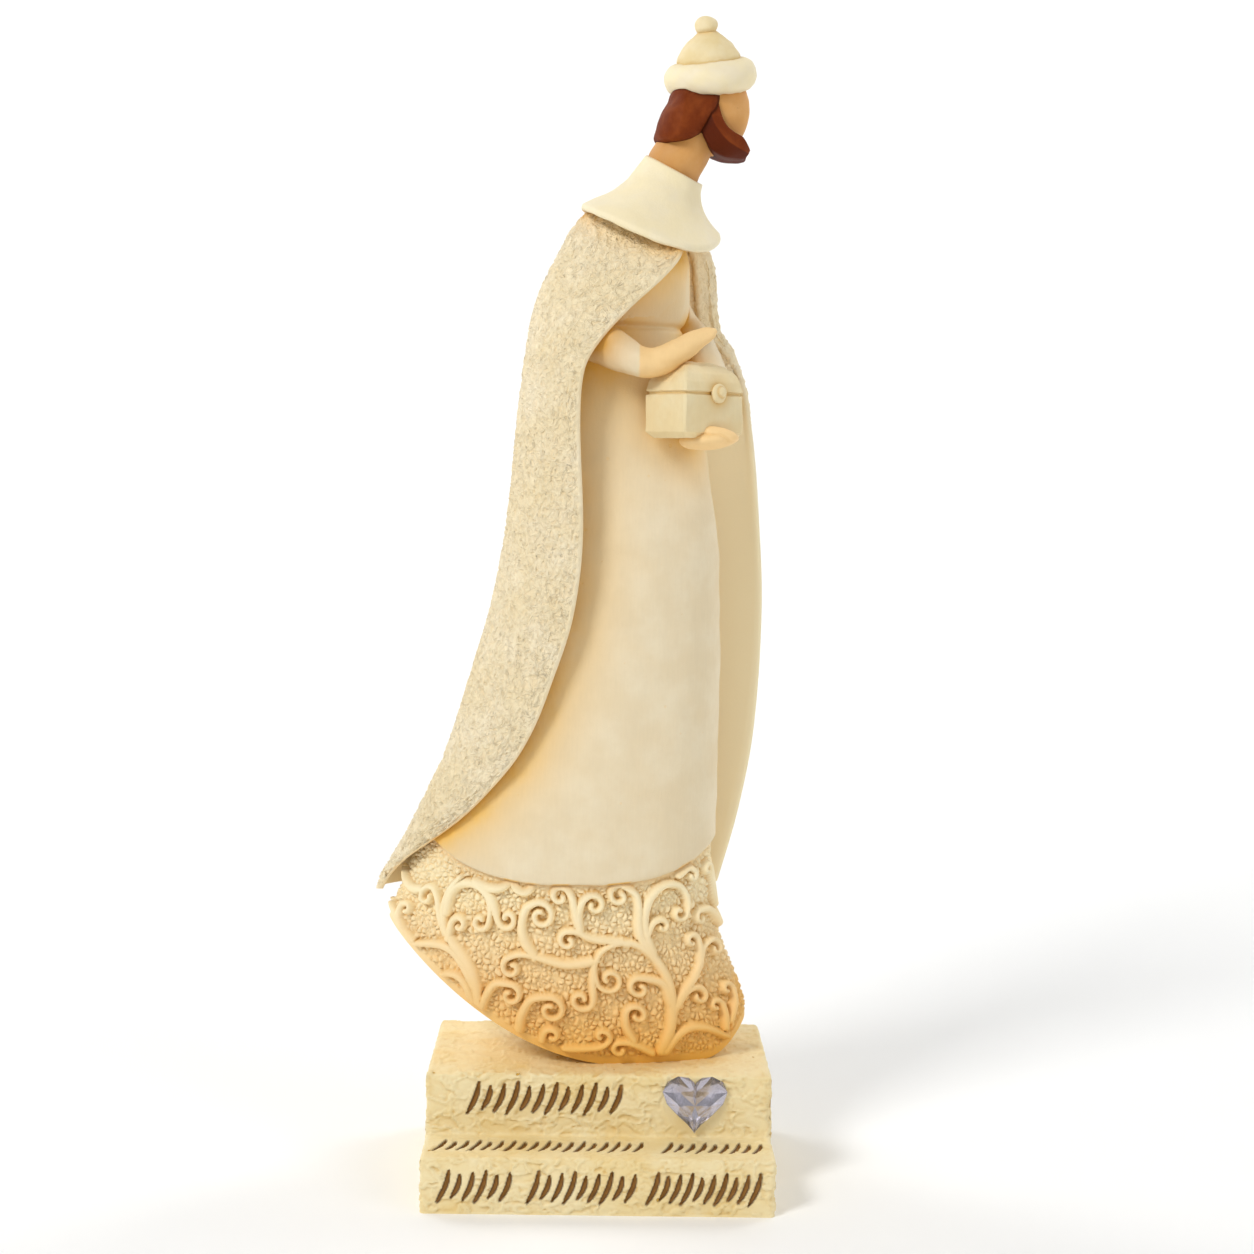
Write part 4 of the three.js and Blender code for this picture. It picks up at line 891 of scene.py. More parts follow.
class BuildHem(bpy.types.Operator):
    """Builds the carved hem with its vine scrolls on pebbled ground"""
    bl_idname = "figurine.hem"
    bl_label = "Carved hem"

    def execute(self, context):
        sizes, colours = context.scene.figurine_carving, context.scene.figurine_colours
        angles, walked = hem_girth()
        # Even columns along the near side, and half as many round the far side
        steps = np.linspace(0, walked[HEM_TURNS // 2], HEM_COLUMNS + 1)
        near = np.interp(steps, walked, angles)[:-1] + 0.004
        around = np.concatenate([near, (2 * np.pi - near[::2])[::-1]])
        carved = hem_point(around, np.linspace(0, 1, HEM_ROWS)[:, None])
        foot = hem_point(around, np.zeros((1, 1)), 0.5)
        tuck = robe_point(around, np.full((1, 1), 0.06), 5)
        grid = np.concatenate([foot, carved, tuck])
        rows, count = grid.shape[:2]
        x, z = carved[..., 0], carved[..., 2]
        # The carving fades out at the rim and under the robe's edge
        mask = smooth(z - z[0], 1.4, 0.6) * smooth(z[-1] - z, -0.3, 2.6)
        low = np.clip(1 - (z - PLINTH_TOP) / 38, 0, 1) ** 1.15
        low = np.maximum(low, 0.8 * smooth(x, 25, 5))
        edge = np.zeros((1, count))
        faces = grid_faces(rows, count)
        # Foot and top are closed by strips that join two near columns to one far column
        last = (rows - 1) * count
        for i in range(0, HEM_COLUMNS - 2, 2):
            across = count - 1 - i // 2
            strip = [i + 2, i + 1, i, across, across - 1]
            faces += [strip, [last + k for k in strip[::-1]]]
        end = HEM_COLUMNS - 2
        faces += [[end + 1, end, end + 2], [last + end + 2, last + end, last + end + 1]]
        # Cream, turning golden towards the rim and the toe, with antique wash deepest in the cuts and golden
        # wash with painted shade where other pieces meet it
        resin = cast_resin(
            "Cast resin, carved hem", colours.hem, colours.wash, linear(0xFFF2CE),
            second=("low", colours.hem_low), wash_strength=0.85, joint_wash_and_shade_strength=0.5, mottle=7)
        piece = solid("hem", grid, faces, resin, {
            "mask": np.concatenate([edge, mask, edge]).ravel(),
            "low": np.concatenate([edge + 0.4, low, edge]).ravel()})
        courses = []
        for root, passed, end, radius, hand, wide in SCROLLS:
            flat = scroll_course(root, passed, end, radius, hand)
            angle = np.interp(walked[HEM_TURNS // 4] - flat[:, 0], walked, angles)
            foot_z, top_z = (hem_point(angle, level + 0 * angle)[:, 2] for level in (0, 1))
            level = (PLINTH_TOP + flat[:, 1] - foot_z) / (top_z - foot_z)
            share = np.linspace(0, 1, len(flat))
            half = lerp(wide, SCROLL_END_HALF_WIDTH, smooth(share * 1.15) if radius else share ** 2)
            courses += [(hem_point(turn, level), half * sizes.scroll_width) for turn in (angle, -angle)]
        follow_paths(piece, "scroll_paths", courses, {
            "Height": sizes.scroll_height, "Bow": 2.2, "Steepness": 0.6, "Stain": 1.9, "Stain Rounds": 10,
            "Pebble Size": sizes.pebble_size, "Pebble Depth": sizes.pebble_depth, "Ledge": 0.35 * MM,
            "Seed": float(sizes.seed)})
        crease(piece, 75)
        settle(piece)
        return {"FINISHED"}


class BuildRobe(bpy.types.Operator):
    """Builds the smooth robe with its waist and its hanging lower edge"""
    bl_idname = "figurine.robe"
    bl_label = "Robe"

    def execute(self, context):
        colours = context.scene.figurine_colours
        around = circle(240)
        turned = [robe_point(around, np.full((1, 1), level), inset) for level, inset in ROBE_EDGE_TURN]
        # Rows lie closest round the tied waist
        levels = np.concatenate([
            np.linspace(0.007, 0.8, 90), np.linspace(0.805, 0.89, 40), np.linspace(0.9, 1, 12)])
        grid = np.concatenate([*turned, robe_point(around, levels[:, None])])
        # Cream paint over cast resin, with faint upright brush marks, and golden wash with painted shade
        # where pieces meet
        resin = cast_resin(
            "Cast resin, smooth robe", colours.robe, linear(0xEBB955), linear(0xF1E4C6), brush=0.015,
            pits=0.2, joint_wash_and_shade_strength=1.2, wash_strength=0.5)
        complete([closed_rings("robe", grid, resin)], 9 * MM, 0.16 * MM, seed=3, creased=60, warp=0.6)
        return {"FINISHED"}


class BuildCape(bpy.types.Operator):
    """Builds the long cape, rough outside and smooth inside"""
    bl_idname = "figurine.cape"
    bl_label = "Cape"

    def execute(self, context):
        sizes, colours = context.scene.figurine_carving, context.scene.figurine_colours
        # Columns over the outer face, round the far edge, back over the lining and round the near edge
        outer = np.concatenate([
            np.linspace(0, CAPE_NEAR_SHARE, 116)[:-1], np.linspace(CAPE_NEAR_SHARE, 0.84, 58)[:-1],
            np.linspace(0.84, 1, 42)])
        inner = np.concatenate([np.linspace(1, 0.7, 32)[:-1], np.linspace(0.7, 0, 12)])
        turn = np.linspace(0, 1, 5)[1:-1]
        swell = np.sqrt(1 - (2 * turn - 1) ** 2) * 0.7
        share = np.concatenate([outer, 0 * turn + 1, inner, 0 * turn])
        inward = np.concatenate([0 * outer, turn, 0 * inner + 1, 1 - turn])
        beyond = np.concatenate([0 * outer, swell, 0 * inner, -swell])
        # Even rows up the cape, over three that round its tip
        row_count = 366
        z = np.concatenate([
            CAPE_TIP_HEIGHT + np.array([0, 0.15, 0.5]),
            np.linspace(CAPE_TIP_HEIGHT + 0.9, CAPE_TOP_HEIGHT, row_count)])[:, None]
        shrink = np.concatenate([[0.4, 0.18, 0.05], np.zeros(row_count)])[:, None]
        grid = cape_point(z, share, 0.5 + (inward - 0.5) * (1 - shrink), beyond)
        rows, count = grid.shape[:2]
        faces = grid_faces(rows, count)
        faces += [list(range(count))[::-1], list(range((rows - 1) * count, rows * count))]
        # Rough outside, calmer towards the far edge and smooth at both edges
        rough = np.zeros(count)
        steps, faced = np.arange(count), len(outer)
        edges = smooth(steps[:faced], -0.6, 2) * smooth(faced - steps[:faced], 0, 2)
        rough[:faced] = edges * (1 - 0.35 * smooth(outer, 0.8, 0.06))
        mask = rough * smooth(z, CAPE_TIP_HEIGHT, 1.6)
        # The far edge turns back on itself below the collar, so there the rough side is the one that shows
        folded = 0.55 * smooth(share, 0.72, 0.04) * (steps >= faced) * smooth(z, 166, 4)
        mask = np.maximum(mask, folded)
        lining = (inward > 0.5) * (1 - np.minimum(mask * 2, 1))
        # Wormy modelled cloth: a little antique wash stays in the marks, their valleys are painted darker as
        # shade, and golden wash with painted shade lies where other pieces meet it
        resin = cast_resin(
            "Cast resin, rough cape", colours.cape, linear(0xDEA743), linear(0xFCF1D6),
            second=("lining", linear(0xFCECC2)), grain=0.5, grain_depth=0.03, crinkle=0.11,
            wash_strength=0.12, joint_wash_and_shade_strength=0.9, mottle=14)
        piece = solid("cape", grid, faces, resin, {"mask": mask.ravel(), "lining": lining.ravel()})
        complete([piece], sizes.cape_mark_size, sizes.cape_mark_depth, seed=1, creased=60,
                 ridged=1.0, warp=1.0, detail=1.5, stain=0.7)
        return {"FINISHED"}


class BuildCollar(bpy.types.Operator):
    """Builds the short flared collar"""
    bl_idname = "figurine.collar"
    bl_label = "Collar"

    def execute(self, context):
        colours = context.scene.figurine_colours
        around = circle(200)

        def ring(at, inward=0.0, drop=0.0):
            left_x, left_z, right_x, right_z, depth, slope, droop = row_at(COLLAR_RINGS, at)
            y = COLLAR_CENTRE_Y - (depth - inward) * np.sin(around)
            x = (left_x + right_x) / 2 + ((right_x - left_x) / 2 - inward) * np.cos(around)
            # It dips in front and lies almost level behind, closing over the top of the cape
            behind = y - COLLAR_CENTRE_Y
            dip = 0.575 * behind - 0.425 * (np.hypot(behind, 2) - 2)
            lean = slope * dip - droop * np.sin(2 * around)
            return stacked(x, y, lerp(left_z, right_z, (1 + np.cos(around)) / 2) + lean - drop)

        neck_end, rim_end = COLLAR_RINGS[0][0], COLLAR_RINGS[-1][0]
        rings = [ring(neck_end, *turn) for turn in COLLAR_NECK_TURN]
        rings += [ring(at) for at in np.linspace(0.05, rim_end, 60)]
        rings += [ring(rim_end, *turn) for turn in COLLAR_RIM_TURN]
        # The palest paint on the figure, with golden wash and painted shade where other pieces meet it, as
        # under its rim
        resin = cast_resin(
            "Cast resin, pale collar", colours.collar, linear(0xD9B06A), linear(0xF4E9CD), brush=0.03,
            joint_wash_and_shade_strength=0.5, wash_strength=0.5)
        complete([closed_rings("collar", np.array(rings), resin)], 7 * MM, 0.2 * MM, seed=5, creased=65)
        return {"FINISHED"}


def tube(stations, count, sides):
    """Rings round a limb through stations of x, y, z, half width and half height."""
    rows = np.array([(k, *station) for k, station in enumerate(stations)], float)
    at = np.linspace(0, len(stations) - 1, count)
    centre = stacked(*(through(rows, at, k) for k in (1, 2, 3)))
    along = np.gradient(centre, axis=0)
    along /= np.linalg.norm(along, axis=1)[:, None]
    hint = np.array([0.35, -0.6, 0.72])
    across = np.cross(along, hint)
    across /= np.linalg.norm(across, axis=1)[:, None]
    over = np.cross(across, along)
    angle = circle(sides)
    wide = np.maximum(through(rows, at, 4), 0.05)[:, None, None]
    high = np.maximum(through(rows, at, 5), 0.05)[:, None, None]
    return (centre[:, None] + across[:, None] * wide * np.cos(angle)[None, :, None]
            + over[:, None] * high * np.sin(angle)[None, :, None])


def closed_rings(name, grid, material, attributes=None):
    """A solid from rings of points, each end closed on a middle point. Attributes are given for the rings."""
    rows, count = grid.shape[:2]
    points = np.vstack([grid.reshape(-1, 3), grid[0].mean(0), grid[-1].mean(0)])
    faces = grid_faces(rows, count) + end_fans(rows, count)
    given = {}
    for key, value in (attributes or {}).items():
        value = np.broadcast_to(value, (rows, count)).astype(float)
        given[key] = np.concatenate([value.ravel(), [value[0].mean(), value[-1].mean()]])
    return solid(name, points, faces, material, given)


def ball(centre, radii, tilt=0.0, rings=64, sides=96):
    """Rings of an egg round its upright axis, from its lowest point to its highest."""
    lift = np.linspace(0.02, np.pi - 0.02, rings)[:, None]
    angle = circle(sides)[None, :]
    x = radii[0] * np.sin(lift) * np.cos(angle)
    y = radii[1] * np.sin(lift) * np.sin(angle)
    z = -radii[2] * np.cos(lift) + 0 * angle
    turned = stacked(x * math.cos(tilt) + z * math.sin(tilt), y, z * math.cos(tilt) - x * math.sin(tilt))
    return turned + np.array(centre, float)


class BuildArms(bpy.types.Operator):
    """Builds both sleeves and hands"""
    bl_idname = "figurine.arms"
    bl_label = "Sleeves and hands"

    def execute(self, context):
        colours = context.scene.figurine_colours
        # One casting: cream paint up to the cuff and pink flesh paint past it
        resin = cast_resin(
            "Cast resin, sleeve and hand", colours.robe, linear(0xD29C42), linear(0xF1E4C6),
            second=("skin", linear(0xF7D296)), joint_wash_and_shade_strength=1.2, wash_strength=0.4, brush=0.02)
        arm, sleeve = tube(NEAR_ARM, 150, 72), tube(FAR_ARM, 60, 60)
        palm, fingertips = ball(*FAR_PALM), ball(*FAR_FINGERTIPS)
        palm[..., 2] += 0.35 * np.sin((palm[..., 0] - FAR_PALM[0][0]) / 3.4)
        pieces = [closed_rings(name, grid, resin, {"skin": skin}) for name, grid, skin in (
            ("near_arm", arm, smooth(arm[..., 0], NEAR_CUFF_X, 0.3)), ("far_sleeve", sleeve, 0),
            ("far_hand", palm, 1), ("far_fingertips", fingertips, 1))]
        complete(pieces, 4 * MM, 0.12 * MM, seed=10)
        return {"FINISHED"}


def turned_by_casket(points):
    """Puts points made round the casket's own upright axis in its place between the hands."""
    cosine, sine = math.cos(CASKET_TURN), math.sin(CASKET_TURN)
    x, y, z = points[..., 0], points[..., 1], points[..., 2]
    return stacked(x * cosine - y * sine, x * sine + y * cosine, z) + np.array(CASKET_CENTRE, float)


class BuildCasket(bpy.types.Operator):
    """Builds the casket with its barrel lid, seam and clasp"""
    bl_idname = "figurine.casket"
    bl_label = "Casket"

    def execute(self, context):
        colours = context.scene.figurine_colours
        profile = []
        for (i0, h0), (i1, h1) in zip(CASKET_PROFILE, CASKET_PROFILE[1:]):
            parts = max(2, int(math.hypot(i1 - i0, h1 - h0) / 0.25))
            profile += [(lerp(i0, i1, k / parts), lerp(h0, h1, k / parts)) for k in range(parts)]
        profile.append(CASKET_PROFILE[-1])
        rings = []
        for inset, height in profile:
            long, wide = (size / 2 - inset for size in CASKET_SIZE)
            short, narrow = long - CASKET_CORNER, wide - CASKET_CORNER
            corners = np.array([
                (short, -wide), (long, -narrow), (long, narrow), (short, wide),
                (-short, wide), (-long, narrow), (-long, -narrow), (-short, -wide)])
            walk = []
            for k, (a, b) in enumerate(zip(corners, np.roll(corners, -1, 0))):
                parts = 30 if k % 2 else 3
                walk += [lerp(a, b, i / parts) for i in range(parts)]
            rings.append([(x, y, height) for x, y in walk])
        local = softened(np.array(rings), 1)
        groove = 0.8 * np.exp(-((local[..., 2] - CASKET_SEAM) / SEAM_HALF_HEIGHT) ** 2)
        # Pale paint, wiped off the corners and left in the seam under the lid
        resin = cast_resin(
            "Cast resin, casket", colours.casket, linear(0xCF9F42), linear(0xEFE1B9), joint_wash_and_shade_strength=0.9,
            wash_strength=0.7, brush=0.02, mottle=7)
        front = -CASKET_SIZE[1] / 2
        plate = ball((CLASP_X, front - 0.1, CASKET_SEAM), CLASP_PLATE, sides=64, rings=40)
        button = ball((CLASP_X, front - 0.75, CASKET_SEAM + 0.3), CLASP_BUTTON, sides=48, rings=32)
        pieces = [closed_rings(name, turned_by_casket(grid), resin, given) for name, grid, given in (
            ("casket", local, {"wash": groove}), ("clasp_plate", plate, None),
            ("clasp_button", button, None))]
        complete(pieces, 3 * MM, 0.1 * MM, seed=20, creased=28)
        return {"FINISHED"}


class BuildHead(bpy.types.Operator):
    """Builds the neck, the plain oval face, the hair and the beard"""
    bl_idname = "figurine.head"
    bl_label = "Head, hair and beard"

    def execute(self, context):
        colours = context.scene.figurine_colours
        # Flesh-toned satin paint with a few bubble pits left by the casting
        skin = cast_resin(
            "Cast resin, flesh paint", colours.skin, linear(0xBC8034), linear(0xE6B474), roughness=0.6,
            mottle=5, joint_wash_and_shade_strength=0.6, wash_strength=0.5, pits=0.6)
        # Brown satin paint, thin enough on the ridges to show redder, and painted darker on the beard's lower
        # facets as shade from above
        brown = cast_resin(
            "Cast resin, brown hair paint", colours.hair, linear(0x3B1506), linear(0x93481C),
            second=("low", linear(0x561E07)), roughness=0.6, shine=0.1, mottle=4, joint_wash_and_shade_strength=0.8,
            brush=0.05, grain_depth=0.03)
        # The hair's outline is drawn in towards its middle, layer by layer to both sides of the head
        outline = softened(smooth_course([*HAIR_OUTLINE, HAIR_OUTLINE[0]], 0.3)[None, :-1], 2)[0]
        mid_x, mid_z = HAIR_MIDDLE
        locks = []
        for share in np.sin(np.linspace(-np.pi / 2, np.pi / 2, 70) * 0.985):
            size = (1 - abs(share) ** 6) ** (1 / 6)
            x = mid_x + (outline[:, 0] - mid_x) * size
            x = np.where(x < mid_x, mid_x - (mid_x - x) * math.sqrt(1 - 0.92 * share * share), x)
            z = mid_z + (outline[:, 1] - mid_z) * size
            depth = HAIR_HALF_DEPTH - 1.6 * smooth(z, mid_z, 4)
            locks.append(stacked(x, HEAD_CENTRE[1] + depth * share, z))
        # The beard runs round the jaw as a ridge with a low side and a high side
        per_side = 14
        tufts = []
        for at in np.linspace(0, len(BEARD_LINES) - 1, 70):
            low_x, low_z, ridge_x, ridge_z, high_x, high_z, depth, under = row_at(BEARD_LINES, at)
            corner = [(low_x, -under, low_z), (ridge_x, -depth, ridge_z), (high_x, -(depth - 0.8), high_z)]
            corner += [(x, -y, z) for x, y, z in corner[::-1]]
            walk = []
            for a, b in zip(corner, corner[1:] + corner[:1]):
                walk += [lerp(np.array(a), np.array(b), k / per_side) for k in range(per_side)]
            tufts.append(np.array(walk) + (0, HEAD_CENTRE[1], 0))
        # Painted shade: the beard's lower facets take the darker brown
        under = np.repeat([0.9, 0, 0, 0, 0.9, 0.9], per_side)
        pieces = [closed_rings(name, grid, paint, given) for name, grid, paint, given in (
            ("face", ball(HEAD_CENTRE, HEAD_RADII, HEAD_TILT, 90, 120), skin, None),
            ("neck", tube(NECK, 60, 90), skin, None), ("hair", np.array(locks), brown, None),
            ("beard", softened(np.array(tufts), 1), brown, {"low": under}))]
        complete(pieces, 4 * MM, 0.1 * MM, seed=30, creased=50)
        return {"FINISHED"}


def on_cap(grid, along):
    """Puts rings made round an upright axis on the leaning axis of the cap."""
    lean = Vector((0, 0, 1)).rotation_difference(Vector(CAP_AXIS)).to_matrix()
    return (grid + (0, 0, along)) @ np.array(lean).T + np.array(CAP_CENTRE, float)


class BuildCap(bpy.types.Operator):
    """Builds the round cap with its rolled brim and bobble"""
    bl_idname = "figurine.cap"
    bl_label = "Cap"

    def execute(self, context):
        colours = context.scene.figurine_colours
        # Warm cream paint over a cast crown, with pits where bubbles sat in the mould
        felt = cast_resin(
            "Cast resin, cap crown", colours.crown, linear(0xD0A64C), linear(0xF1E2BC), pits=0.8, mottle=5,
            joint_wash_and_shade_strength=0.45, wash_strength=0.6)
        # Paler than the crown, as the rolled edge was dry-brushed
        pale = cast_resin(
            "Cast resin, cap brim", colours.collar, linear(0xCDAE7A), linear(0xF2E6CC), pits=0.5, mottle=5,
            joint_wash_and_shade_strength=0.4, wash_strength=0.6)
        rings, sides = 140, 56
        angle, over = circle(rings)[:, None], circle(sides)[None, :]
        reach = BRIM_RADIUS + BRIM_TUBE * np.cos(over)
        roll = stacked(reach * np.cos(angle), reach * np.sin(angle), BRIM_TUBE * 1.08 * np.sin(over))
        last = (rings - 1) * sides
        faces = grid_faces(rings, sides)
        faces += [[last + i, last + (i + 1) % sides, (i + 1) % sides, i] for i in range(sides)]
        brim = solid("cap_brim", on_cap(roll, -0.2), faces, pale)
        height = np.concatenate([[-1.5], np.linspace(0, CROWN_PROFILE[-1][0], 60)])[:, None]
        radius = through(CROWN_PROFILE, height)
        turn = circle(120)
        dome = stacked(radius * np.cos(turn), radius * np.sin(turn), height)
        crown = closed_rings("cap_crown", on_cap(dome, 0), felt)
        bobble = closed_rings("cap_bobble", on_cap(ball((0, 0, 0), BOBBLE_RADII), 9.95), felt)
        complete((brim, crown, bobble), 3.5 * MM, 0.16 * MM, seed=40, creased=60, detail=1.5)
        return {"FINISHED"}


def plinth_outline():
    """The plinth's side outline from its front foot over the steps to its back foot, as (y, z)."""
    front, back = -PLINTH_DEPTH / 2, PLINTH_DEPTH / 2
    riser = front + TREAD_DEPTH
    corners = [(front, 0), (front, LOWER_STEP_HEIGHT), (riser, LOWER_STEP_HEIGHT), (riser, PLINTH_TOP),
               (back, PLINTH_TOP), (back, 0)]
    walk = []
    # Fine rows where strokes are cut, coarser ones on top and behind
    for a, b, step in zip(corners, corners[1:], (0.27, 0.27, 0.27, 0.7, 1.0)):
        parts = round(math.dist(a, b) / step)
        walk += [(lerp(a[0], b[0], k / parts), lerp(a[1], b[1], k / parts)) for k in range(parts)]
    walk.append(corners[-1])
    line = np.array(walk)
    for _ in range(7):
        line[1:-1] = 0.5 * line[1:-1] + 0.25 * (line[:-2] + line[2:])
    return line


def stroke_paths():
    """The strokes' lines on the plinth's faces: slanting, slightly bowed, every other one shorter."""
    courses = []
    for face, middle, height, pitch, width, groups in STROKE_ROWS:
        for start, end in groups:
            count = round((end - start) / pitch)
            for k in range(count + 1):
                length = height * (1, 0.72, 0.86)[k % 3]
                share = np.linspace(0, 1, 24)
                along = (share - 0.5) * length
                x = lerp(start, end, k / count) + along * math.sin(STROKE_SLANT)
                x = x + STROKE_BOW * np.sin(np.pi * share)
                rise = middle + along * math.cos(STROKE_SLANT)
                if face == "tread":
                    line = stacked(x, rise, LOWER_STEP_HEIGHT)
                else:
                    y = -PLINTH_DEPTH / 2 + (TREAD_DEPTH if face == "upper" else 0)
                    line = stacked(x, y, rise)
                courses.append((line, width / 2 * np.maximum(np.sin(np.pi * share), 0.1) ** 0.3))
    return courses


class BuildPlinth(bpy.types.Operator):
    """Builds the stepped plinth with its hewn faces and rows of strokes"""
    bl_idname = "figurine.plinth"
    bl_label = "Plinth"

    def execute(self, context):
        sizes, colours = context.scene.figurine_carving, context.scene.figurine_colours
        outline = plinth_outline()
        along = np.gradient(outline, axis=0)
        along /= np.linalg.norm(along, axis=1)[:, None]
        inwards = np.stack([along[:, 1], -along[:, 0]], 1)
        inwards[[0, -1], 1] = 0
        # Columns across the width, with three at each end that round its edge
        half, radius = PLINTH_WIDTH / 2, PLINTH_EDGE_RADIUS
        bend = np.radians((90, 60, 30))
        body = np.linspace(-half + radius, half - radius, 264)
        out, drawn = radius * (1 - np.sin(bend)), radius * (1 - np.cos(bend))
        x = np.concatenate([-half + out, body, (half - out)[::-1]])
        inset = np.concatenate([drawn, 0 * body, drawn[::-1]])
        columns, rows = len(x), len(outline)
        y, z = (outline[:, None, k] + inwards[:, None, k] * inset for k in (0, 1))
        skin = stacked(x, y, z)
        points = [skin.reshape(-1, 3)]
        faces = grid_faces(rows, columns, closed=False)
        total = rows * columns
        walked = np.concatenate([[0], np.cumsum(np.linalg.norm(np.diff(outline, axis=0), axis=1))])
        foot_y = lerp(skin[0, 0, 1], skin[-1, 0, 1], walked / walked[-1])
        # Each end is filled by layers that shrink from its outline to a line on the ground
        layers = 26
        side_rims = []
        for column, turn in ((0, 1), (columns - 1, -1)):
            edge = skin[:, column]
            foot = stacked(edge[:, 0], foot_y, 0)
            share = np.linspace(0, 1, layers)[1:, None, None]
            inner = lerp(edge[None], foot[None], share)[:, 1:-1]
            points.append(inner.reshape(-1, 3))
            width = rows - 2

            def index(r, i):
                return r * columns + column if i == 0 else total + (i - 1) * width + r - 1

            for i in range(layers - 1):
                for r in range(1, rows - 2):
                    square = [index(r, i), index(r, i + 1), index(r + 1, i + 1), index(r + 1, i)]
                    faces.append(square[::-turn])
            for end, beside, way in ((0, 1, -turn), (rows - 1, rows - 2, turn)):
                faces.append(([index(end, 0)] + [index(beside, i) for i in range(layers - 1, -1, -1)])[::way])
            side_rims.append([index(r, layers - 1) for r in range(1, rows - 1)])
            total += inner.shape[0] * width
        front_foot = list(range(columns))
        back_foot = list(range(rows * columns - 1, (rows - 1) * columns - 1, -1))
        faces.append((front_foot + side_rims[1] + back_foot + side_rims[0][::-1])[::-1])
        points = np.vstack(points)
        # The hewing is full on the faces and faint at the foot and on the worn edges between them
        front, riser_foot, riser_top, top, back = np.cumsum((
            LOWER_STEP_HEIGHT, TREAD_DEPTH, PLINTH_TOP - LOWER_STEP_HEIGHT, PLINTH_DEPTH - TREAD_DEPTH,
            PLINTH_TOP))
        strength = np.interp(walked, *zip(
            (0, 0.2), (0.4, 1), (front - 0.5, 1), (front + 1.5, 0.45), (riser_foot - 1, 0.45),
            (riser_foot + 1, 1), (riser_top - 0.5, 1), (riser_top + 2, 0.45), (top - 1.5, 0.45),
            (top + 1, 0.9), (back - 0.4, 0.9), (back, 0.2)))
        mask = np.ones(len(points))
        mask[:rows * columns] = np.repeat(strength, columns)
        mask[points[:, 2] < 0.3] *= 0.2
        # A flat seat for the heart on the riser
        seat = np.hypot((points[:, 0] - HEART_CENTRE_X) / 1.08, points[:, 2] - HEART_CENTRE_Z)
        before = points[:, 1] < -PLINTH_DEPTH / 2 + TREAD_DEPTH + 1
        on_riser = before & (points[:, 2] > LOWER_STEP_HEIGHT + 0.5)
        mask = np.where(on_riser, mask * smooth(seat, 5.6, 1.6), mask)
        # Resin cast from hewn limestone: buff, pitted, with brown stain wiped into the strokes
        resin = cast_resin(
            "Cast resin, hewn stone", colours.plinth, linear(0xD2A444), linear(0xEBCD84),
            second=("band", colours.stroke), third=("core", linear(0x9C6A22)), pits=1.0, mottle=11,
            grain=0.45, grain_depth=0.08, wash_strength=0.75, joint_wash_and_shade_strength=0.35)
        piece = solid("plinth_stone", points, faces, resin)
        follow_paths(piece, "stroke_paths", stroke_paths(), {
            "Height": -sizes.stroke_depth, "Bow": 1.3, "Steepness": 0.9, "Pebble Size": 0.002,
            "Pebble Depth": 0.0})
        # Calm stone round the strokes, dark stain in them and a lighter line along their floor
        band = read_attribute(piece, "band")
        for name, values in (("mask", mask * (1 - 0.85 * smooth(band * 3))), ("wash", 0 * band),
                             ("band", smooth(band * 2.2)), ("core", 0.95 * smooth(band, 0.5, 1 / 3))):
            write_attribute(piece, name, values)
        hand_worked(piece, sizes.hewn_size, sizes.hewn_depth, seed=2, ridged=0.55, warp=1.0, detail=2.2,
                    stain=1.3, stretch=1.5)
        crease(piece, 70)
        settle(piece, "plinth")
        return {"FINISHED"}


def heart_place(angle, share, height):
    """A place on the heart: angle round its outline, share of its size, height over the plinth's riser."""
    x = 16 * math.sin(angle) ** 3
    z = 13.5 * math.cos(angle) - 4.2 * math.cos(2 * angle) - 1.6 * math.cos(3 * angle)
    z -= 0.6 * math.cos(4 * angle)
    return (HEART_CENTRE_X + x / 32 * HEART_WIDTH * share, TREAD_DEPTH - PLINTH_DEPTH / 2 - height,
            HEART_CENTRE_Z + (z + 2.7) / 28 * HEART_HEIGHT * share)


